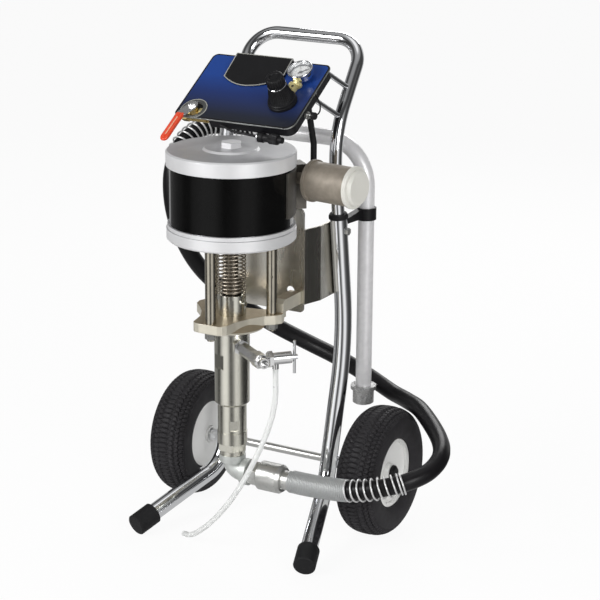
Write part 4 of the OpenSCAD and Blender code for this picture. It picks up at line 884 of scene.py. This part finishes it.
def add_valve_union():
    """The brass union beside the ball valve's stem, seen through the panel's opening."""
    start = on_panel(VALVE_AT[0] + 0.0105, VALVE_AT[1] + 0.001, -0.0055)
    where = frame_at(start, RIGHT, BACK)
    nut = [(0.0052, 0), (0.0078, 0), (0.0086, 0.0008), (0.0086, 0.0058), (0.0078, 0.0066),
           (0.0052, 0.0066)]
    link(sharpen(lathe("valve_union", nut, where, 72, flats)), PALE_BRASS, FIXED)


add_fittings()
add_side_cable()
add_valve_union()


def add_regulator():
    """A fluted bonnet, a bright ring and a scalloped knob."""
    where = frame_at(on_panel(*REGULATOR_AT), PANEL_N)

    def flutes(u, r, h):
        """Grooves down the bonnet's cone."""
        return fluted(u, r, 36, 0.0006) if 0.018 < h < 0.042 else r

    bonnet = [(0.0042, 0.0026), (0.0275, 0.0026), (0.028, 0.0034), (0.028, 0.0088),
              (0.0268, 0.0096), (0.0268, 0.0134), (0.0255, 0.0146), (0.0246, 0.0148),
              (0.0243, 0.0165), (0.0239, 0.0185), (0.0212, 0.030), (0.0186, 0.0415),
              (0.0181, 0.0438), (0.0172, 0.0446), (0.0042, 0.0446)]
    link(sharpen(lathe("bonnet", bonnet, where, 216, flutes)), PLASTIC, FIXED,
         ["regulator_body"])
    band = [(0.0044, 0.0447), (0.0172, 0.0447), (0.0177, 0.0452), (0.0177, 0.0464),
            (0.0172, 0.0468), (0.0044, 0.0468)]
    link(sharpen(lathe("bonnet_band", band, where)), CHROME, FIXED)

    def scallops(u, r, h):
        """Grip hollows round the knob's side."""
        return r - 0.0011 * max(0, math.cos(20 * 2 * math.pi * u)) if r > 0.0155 else r

    knob = [(0.0002, 0.0471), (0.0168, 0.0471), (0.0175, 0.0480), (0.0175, 0.0560),
            (0.0175, 0.0630), (0.0168, 0.0655), (0.0150, 0.0667), (0.0108, 0.0668),
            (0.0098, 0.0660), (0.0094, 0.0646), (0.0002, 0.0644)]
    link(sharpen(lathe("knob", knob, where, 240, scallops), 50), PLASTIC, "pressure_knob",
         ["regulator_knob"])


add_regulator()


def add_gauge():
    """A dial with plain numbers, and a rolled bezel on the case."""
    where = frame_at(on_panel(*GAUGE_AT), PANEL_N)
    face_n = PANEL_T + 0.0132
    marks_n = face_n + 0.0003
    r, number_r = 0.0208, 0.0118
    zero, sweep, top = 225, 270, 10

    def at(n, x=0, y=0):
        """The dial's place moved to x, y and to the height n above the panel's middle."""
        return where @ Matrix.Translation((x, y, n))

    def turn(value):
        """The dial's angle for a value, clockwise from zero."""
        return math.radians(zero - sweep * value / top)

    link(flat_shape("gauge_dial", [circle(0, 0, r, 64), circle(0, 0, 0.0018, 20)], 0.0003,
                    at(face_n)), DIAL, FIXED)
    link(flat_shape("gauge_shadow_ring", [circle(0, 0, 0.0213, 64), circle(0, 0, 0.0198, 64)],
                    0.0004, at(face_n + 0.0004)), NEEDLE, FIXED)
    marks = []
    for k in range(51):
        a = turn(k / 5)
        inner, half = (0.0150, 0.00045) if k % 10 == 0 else (0.0172, 0.00018)
        outward = Vector((math.cos(a), math.sin(a)))
        across = Vector((-math.sin(a), math.cos(a)))
        corners = ((inner, -half), (0.0192, -half), (0.0192, half), (inner, half))
        marks.append([tuple(outward * q + across * w) for q, w in corners])
    link(flat_shape("gauge_marks", marks, 0.0001, at(marks_n)), NEEDLE, FIXED)
    for k in range(6):
        a = turn(2 * k)
        text = bpy.data.curves.new(f"gauge_number_{k}", "FONT")
        text.body = str(2 * k)
        text.size = 0.0052
        text.align_x = text.align_y = "CENTER"
        number = bpy.data.objects.new(f"gauge_number_{k}", text)
        number.matrix_world = at(marks_n, number_r * math.cos(a), number_r * math.sin(a))
        link(number, NEEDLE, FIXED)
    bezel = [(0.0214, 0.0236), (0.0214, 0.0252), (0.0222, 0.0260), (0.0236, 0.0260),
             (0.0245, 0.0252), (0.0247, 0.0238), (0.0245, 0.0220), (0.0241, 0.0210),
             (0.0241, 0.0236)]
    link(sharpen(lathe("gauge_bezel", bezel, where), 60), CHROME, FIXED)


add_gauge()


def add_gauge_fitting():
    """The pale brass block and its wide collar between the gauge and the regulator, and a black
    disc painted as the shade in its port.
    """
    section = [(1, 0.4), (0.7, 1), (-0.7, 1), (-1, 0.4), (-1, -0.4), (-0.7, -1), (0.7, -1),
               (1, -0.4)]
    stations = [(-0.050, 0.0044, 0.0044), (-0.0465, 0.0044, 0.0044), (-0.0460, 0.0056, 0.0056),
                (-0.0450, 0.0062, 0.0062), (-0.0330, 0.0076, 0.0072), (-0.0325, 0.0120, 0.0050),
                (-0.0315, 0.0134, 0.0056), (-0.0260, 0.0134, 0.0056), (-0.0250, 0.0120, 0.0050),
                (-0.0248, 0.0086, 0.0048), (-0.0236, 0.0086, 0.0046)]
    n = PANEL_T + 0.0079
    rows = [[on_panel(GAUGE_AT[0] + x * wide, GAUGE_AT[1] + s, n + y * tall)
             for x, y in section] for s, wide, tall in stations]
    block = ring_mesh("gauge_block", rows, caps=(0, len(rows) - 1))
    link(sharpen(block, 30), PALE_BRASS, FIXED, ["gauge_fitting"])
    # Painted shade: a black disc where the port's opening shows dark.
    where = frame_at(on_panel(GAUGE_AT[0] + 0.001, GAUGE_AT[1] - 0.039, n + 0.0066), PANEL_N)
    port_shade = [(0.0002, 0), (0.0022, 0), (0.0026, 0.0004), (0.0022, 0.0008), (0.0002, 0.0008)]
    link(sharpen(lathe("gauge_port_shade", port_shade, where, 24)), NEEDLE, FIXED)


add_gauge_fitting()


def add_lever_grip():
    """The red sleeve over the ball valve's lever, with a channel along its face and, in it, a
    pale strip that is a painted highlight.
    """
    where = frame_at(on_panel(*VALVE_AT), PANEL_N)
    u, half_w, half_t, reach, mid_n = -0.013, 0.0094, 0.0042, 0.0985, 0.0119
    section = [(-1, 0), (-0.93, 0.55), (-0.7, 0.95), (-0.5, 0.95), (-0.36, 0.6), (0.36, 0.6),
               (0.5, 0.95), (0.7, 0.95), (0.93, 0.55), (1, 0), (0.93, -0.55), (0.7, -0.9),
               (-0.7, -0.9), (-0.93, -0.55)]
    stations = [(0.023, 0.80, 0.5), (0.024, 0.93, 0.85), (0.027, 1, 1), (0.050, 0.95, 0.95),
                (0.075, 0.95, 0.95), (0.088, 1, 1), (0.093, 0.86, 0.95), (0.0965, 0.62, 0.8),
                (reach, 0.3, 0.45)]
    rows = [[where @ Vector((u + x * half_w * wide, -s, mid_n + y * half_t * tall))
             for x, y in section] for s, wide, tall in stations]
    grip = ring_mesh("lever_grip", rows, caps=(0, len(rows) - 1))
    grip.modifiers.new("round", "SUBSURF").render_levels = 2
    link(grip, RED, "air_valve_handle")
    # Painted highlight: a pale strip along the grip's channel.
    strip_from, strip_to = 0.036, reach - 0.014
    face = where @ Matrix.Translation((u, -(strip_from + strip_to) / 2, mid_n + 0.0026))
    half_l = (strip_to - strip_from) / 2
    highlight_strip = flat_shape("grip_highlight_strip", [rounded(-0.0013, 0.0013, -half_l, half_l, 0.0012)],
                       0.0010, face)
    link(highlight_strip, RED_HIGHLIGHT, "air_valve_handle")


add_lever_grip()


# ---------------------------------------------------------------- stage
STUDIO_FRONT = Vector((0.489, -0.872, 0))
STUDIO_SIDE = Vector((0.872, 0.489, 0))
# Tones of the studio's walls by the angle round from its front right corner, in degrees
WALL_TONES = [(-180, 0.35), (-150, 0.3), (-120, 0.25), (-100, 0.2), (-90, 0.04), (-78, 0.04),
              (-70, 0.5), (-50, 1), (-30, 1), (-20, 0.5), (-12, 0.04), (-3, 0.1), (10, 0.35),
              (20, 0.85), (40, 0.85), (50, 0.4), (60, 0.15), (80, 0.05), (110, 0.05),
              (125, 0.15), (140, 0.6), (160, 0.5), (180, 0.35)]
# Tones overhead, by the height of the direction from 0 at the horizon to 1
ROOF_TONES = [(0, 0.05), (0.42, 0.05), (0.70, 0.06), (0.80, 0.25), (0.93, 0.35), (0.97, 0.9),
              (1.0, 0.95)]
ROOF_FROM, ROOF_FULL = 0.30, 0.48
# The soft light's tones, by the same height
DOME_TONES = [(0, 1), (0.35, 0.95), (1, 0.35)]
DOME_LIGHT = 0.6
FLOOR_HALF = 30
FLOOR_DROP = 0.0005
FLOOR_GREY = (0.88, 0.88, 0.88, 1)
# The share of plain white in what the camera sees of the floor; the rest holds the shadow
FLOOR_WHITE = 0.93
# The floor's tone in metal under the object, and where the walls' tones take over
UNDER_TONE = (0.5, 0.5, 0.5, 1)
UNDER_FROM, UNDER_TO = 0.35, 0.8


def wall_tones(nodes, links, vector):
    """The studio's tone seen along a direction, or from the middle to a place."""
    parts = [vectors(nodes, links, "DOT_PRODUCT", vector, axis)["Value"]
             for axis in (STUDIO_SIDE, STUDIO_FRONT)]
    turn = maths(nodes, links, "ARCTAN2", *parts)
    share = maths(nodes, links, "MULTIPLY_ADD", turn, 0.5 / math.pi, 0.5)
    return tones(nodes, links, share, grey([((a + 180) / 360, t) for a, t in WALL_TONES]))


def mixed_shader(nodes, links, fac, first, second):
    """A mix of two shaders."""
    mix = nodes.new("ShaderNodeMixShader")
    links.new(fac, mix.inputs["Fac"])
    links.new(first, mix.inputs[1])
    links.new(second, mix.inputs[2])
    return mix.outputs[0]


def plain_rays(nodes, links, path):
    """1 for what the camera sees, by itself or through glass."""
    return maths(nodes, links, "MAXIMUM", path.outputs["Is Camera Ray"],
                 path.outputs["Is Transmission Ray"])


def add_floor():
    """Near white with the object's shadow; metal sees the walls' tones on it further out."""
    mesh = bpy.data.meshes.new("floor")
    corners = [(-1, -1), (1, -1), (1, 1), (-1, 1)]
    mesh.from_pydata([(x * FLOOR_HALF, y * FLOOR_HALF, 0) for x, y in corners], [],
                     [(0, 1, 2, 3)])
    floor = bpy.data.objects.new("floor", mesh)
    floor.location.z = -FLOOR_DROP
    bpy.context.scene.collection.objects.link(floor)
    mat = bpy.data.materials.new("floor")
    nodes, links = nodes_of(mat)
    shader = nodes["Principled BSDF"]
    shader.inputs["Base Color"].default_value = FLOOR_GREY
    shader.inputs["Roughness"].default_value = 0.6
    shader.inputs["Specular IOR Level"].default_value = 0.2
    path = nodes.new("ShaderNodeLightPath")
    white = nodes.new("ShaderNodeEmission")
    share = maths(nodes, links, "MULTIPLY", plain_rays(nodes, links, path), FLOOR_WHITE)
    plain = mixed_shader(nodes, links, share, shader.outputs[0], white.outputs[0])
    place = nodes.new("ShaderNodeTexCoord").outputs["Object"]
    away = vectors(nodes, links, "LENGTH", place)["Value"]
    far = share_of(nodes, links, away, UNDER_FROM, UNDER_TO, soft=True)
    tone = mixed(nodes, links, far, UNDER_TONE, wall_tones(nodes, links, place))
    glow = nodes.new("ShaderNodeEmission")
    links.new(tone, glow.inputs["Color"])
    both = mixed_shader(nodes, links, path.outputs["Is Glossy Ray"], plain, glow.outputs[0])
    links.new(both, nodes["Material Output"].inputs["Surface"])
    mesh.materials.append(mat)


def add_world():
    """White behind the object, soft light from all round, and toned walls for metal."""
    world = bpy.data.worlds.new("studio")
    bpy.context.scene.world = world
    nodes, links = nodes_of(world)
    nodes.clear()
    soft = nodes.new("ShaderNodeBackground")
    soft.inputs["Strength"].default_value = DOME_LIGHT
    white = nodes.new("ShaderNodeBackground")
    white.inputs["Color"].default_value = (1, 1, 1, 1)
    ahead = nodes.new("ShaderNodeTexCoord").outputs["Generated"]
    path = nodes.new("ShaderNodeLightPath")
    parts = nodes.new("ShaderNodeSeparateXYZ")
    links.new(ahead, parts.inputs[0])
    lift = parts.outputs["Z"]
    links.new(tones(nodes, links, lift, grey(DOME_TONES)), soft.inputs["Color"])
    raised = share_of(nodes, links, lift, ROOF_FROM, ROOF_FULL)
    tone = mixed(nodes, links, raised, wall_tones(nodes, links, ahead),
                 tones(nodes, links, lift, grey(ROOF_TONES)))
    studio = nodes.new("ShaderNodeBackground")
    links.new(tone, studio.inputs["Color"])
    plain = mixed_shader(nodes, links, plain_rays(nodes, links, path), soft.outputs[0],
                         white.outputs[0])
    both = mixed_shader(nodes, links, path.outputs["Is Glossy Ray"], plain, studio.outputs[0])
    out = nodes.new("ShaderNodeOutputWorld")
    links.new(both, out.inputs["Surface"])


def add_lamp(name, place, size, watts):
    """A round soft lamp that looks at the object's middle."""
    middle = Vector((0, 0, 0.5))
    data = bpy.data.lights.new(name, "AREA")
    data.shape = "DISK"
    data.size = size
    data.energy = watts
    lamp = bpy.data.objects.new(name, data)
    lamp.location = place
    lamp.rotation_mode = "QUATERNION"
    lamp.rotation_quaternion = (middle - Vector(place)).to_track_quat("-Z", "Y")
    bpy.context.scene.collection.objects.link(lamp)


add_floor()
add_world()
add_lamp("key", (-1.5, -2.9, 2.2), 1.6, 70)
add_lamp("fill", (2.8, -2.0, 1.5), 1.8, 46)
add_lamp("rim", (-0.6, 2.6, 2.0), 1.6, 30)
bpy.context.scene.view_settings.view_transform = "Standard"
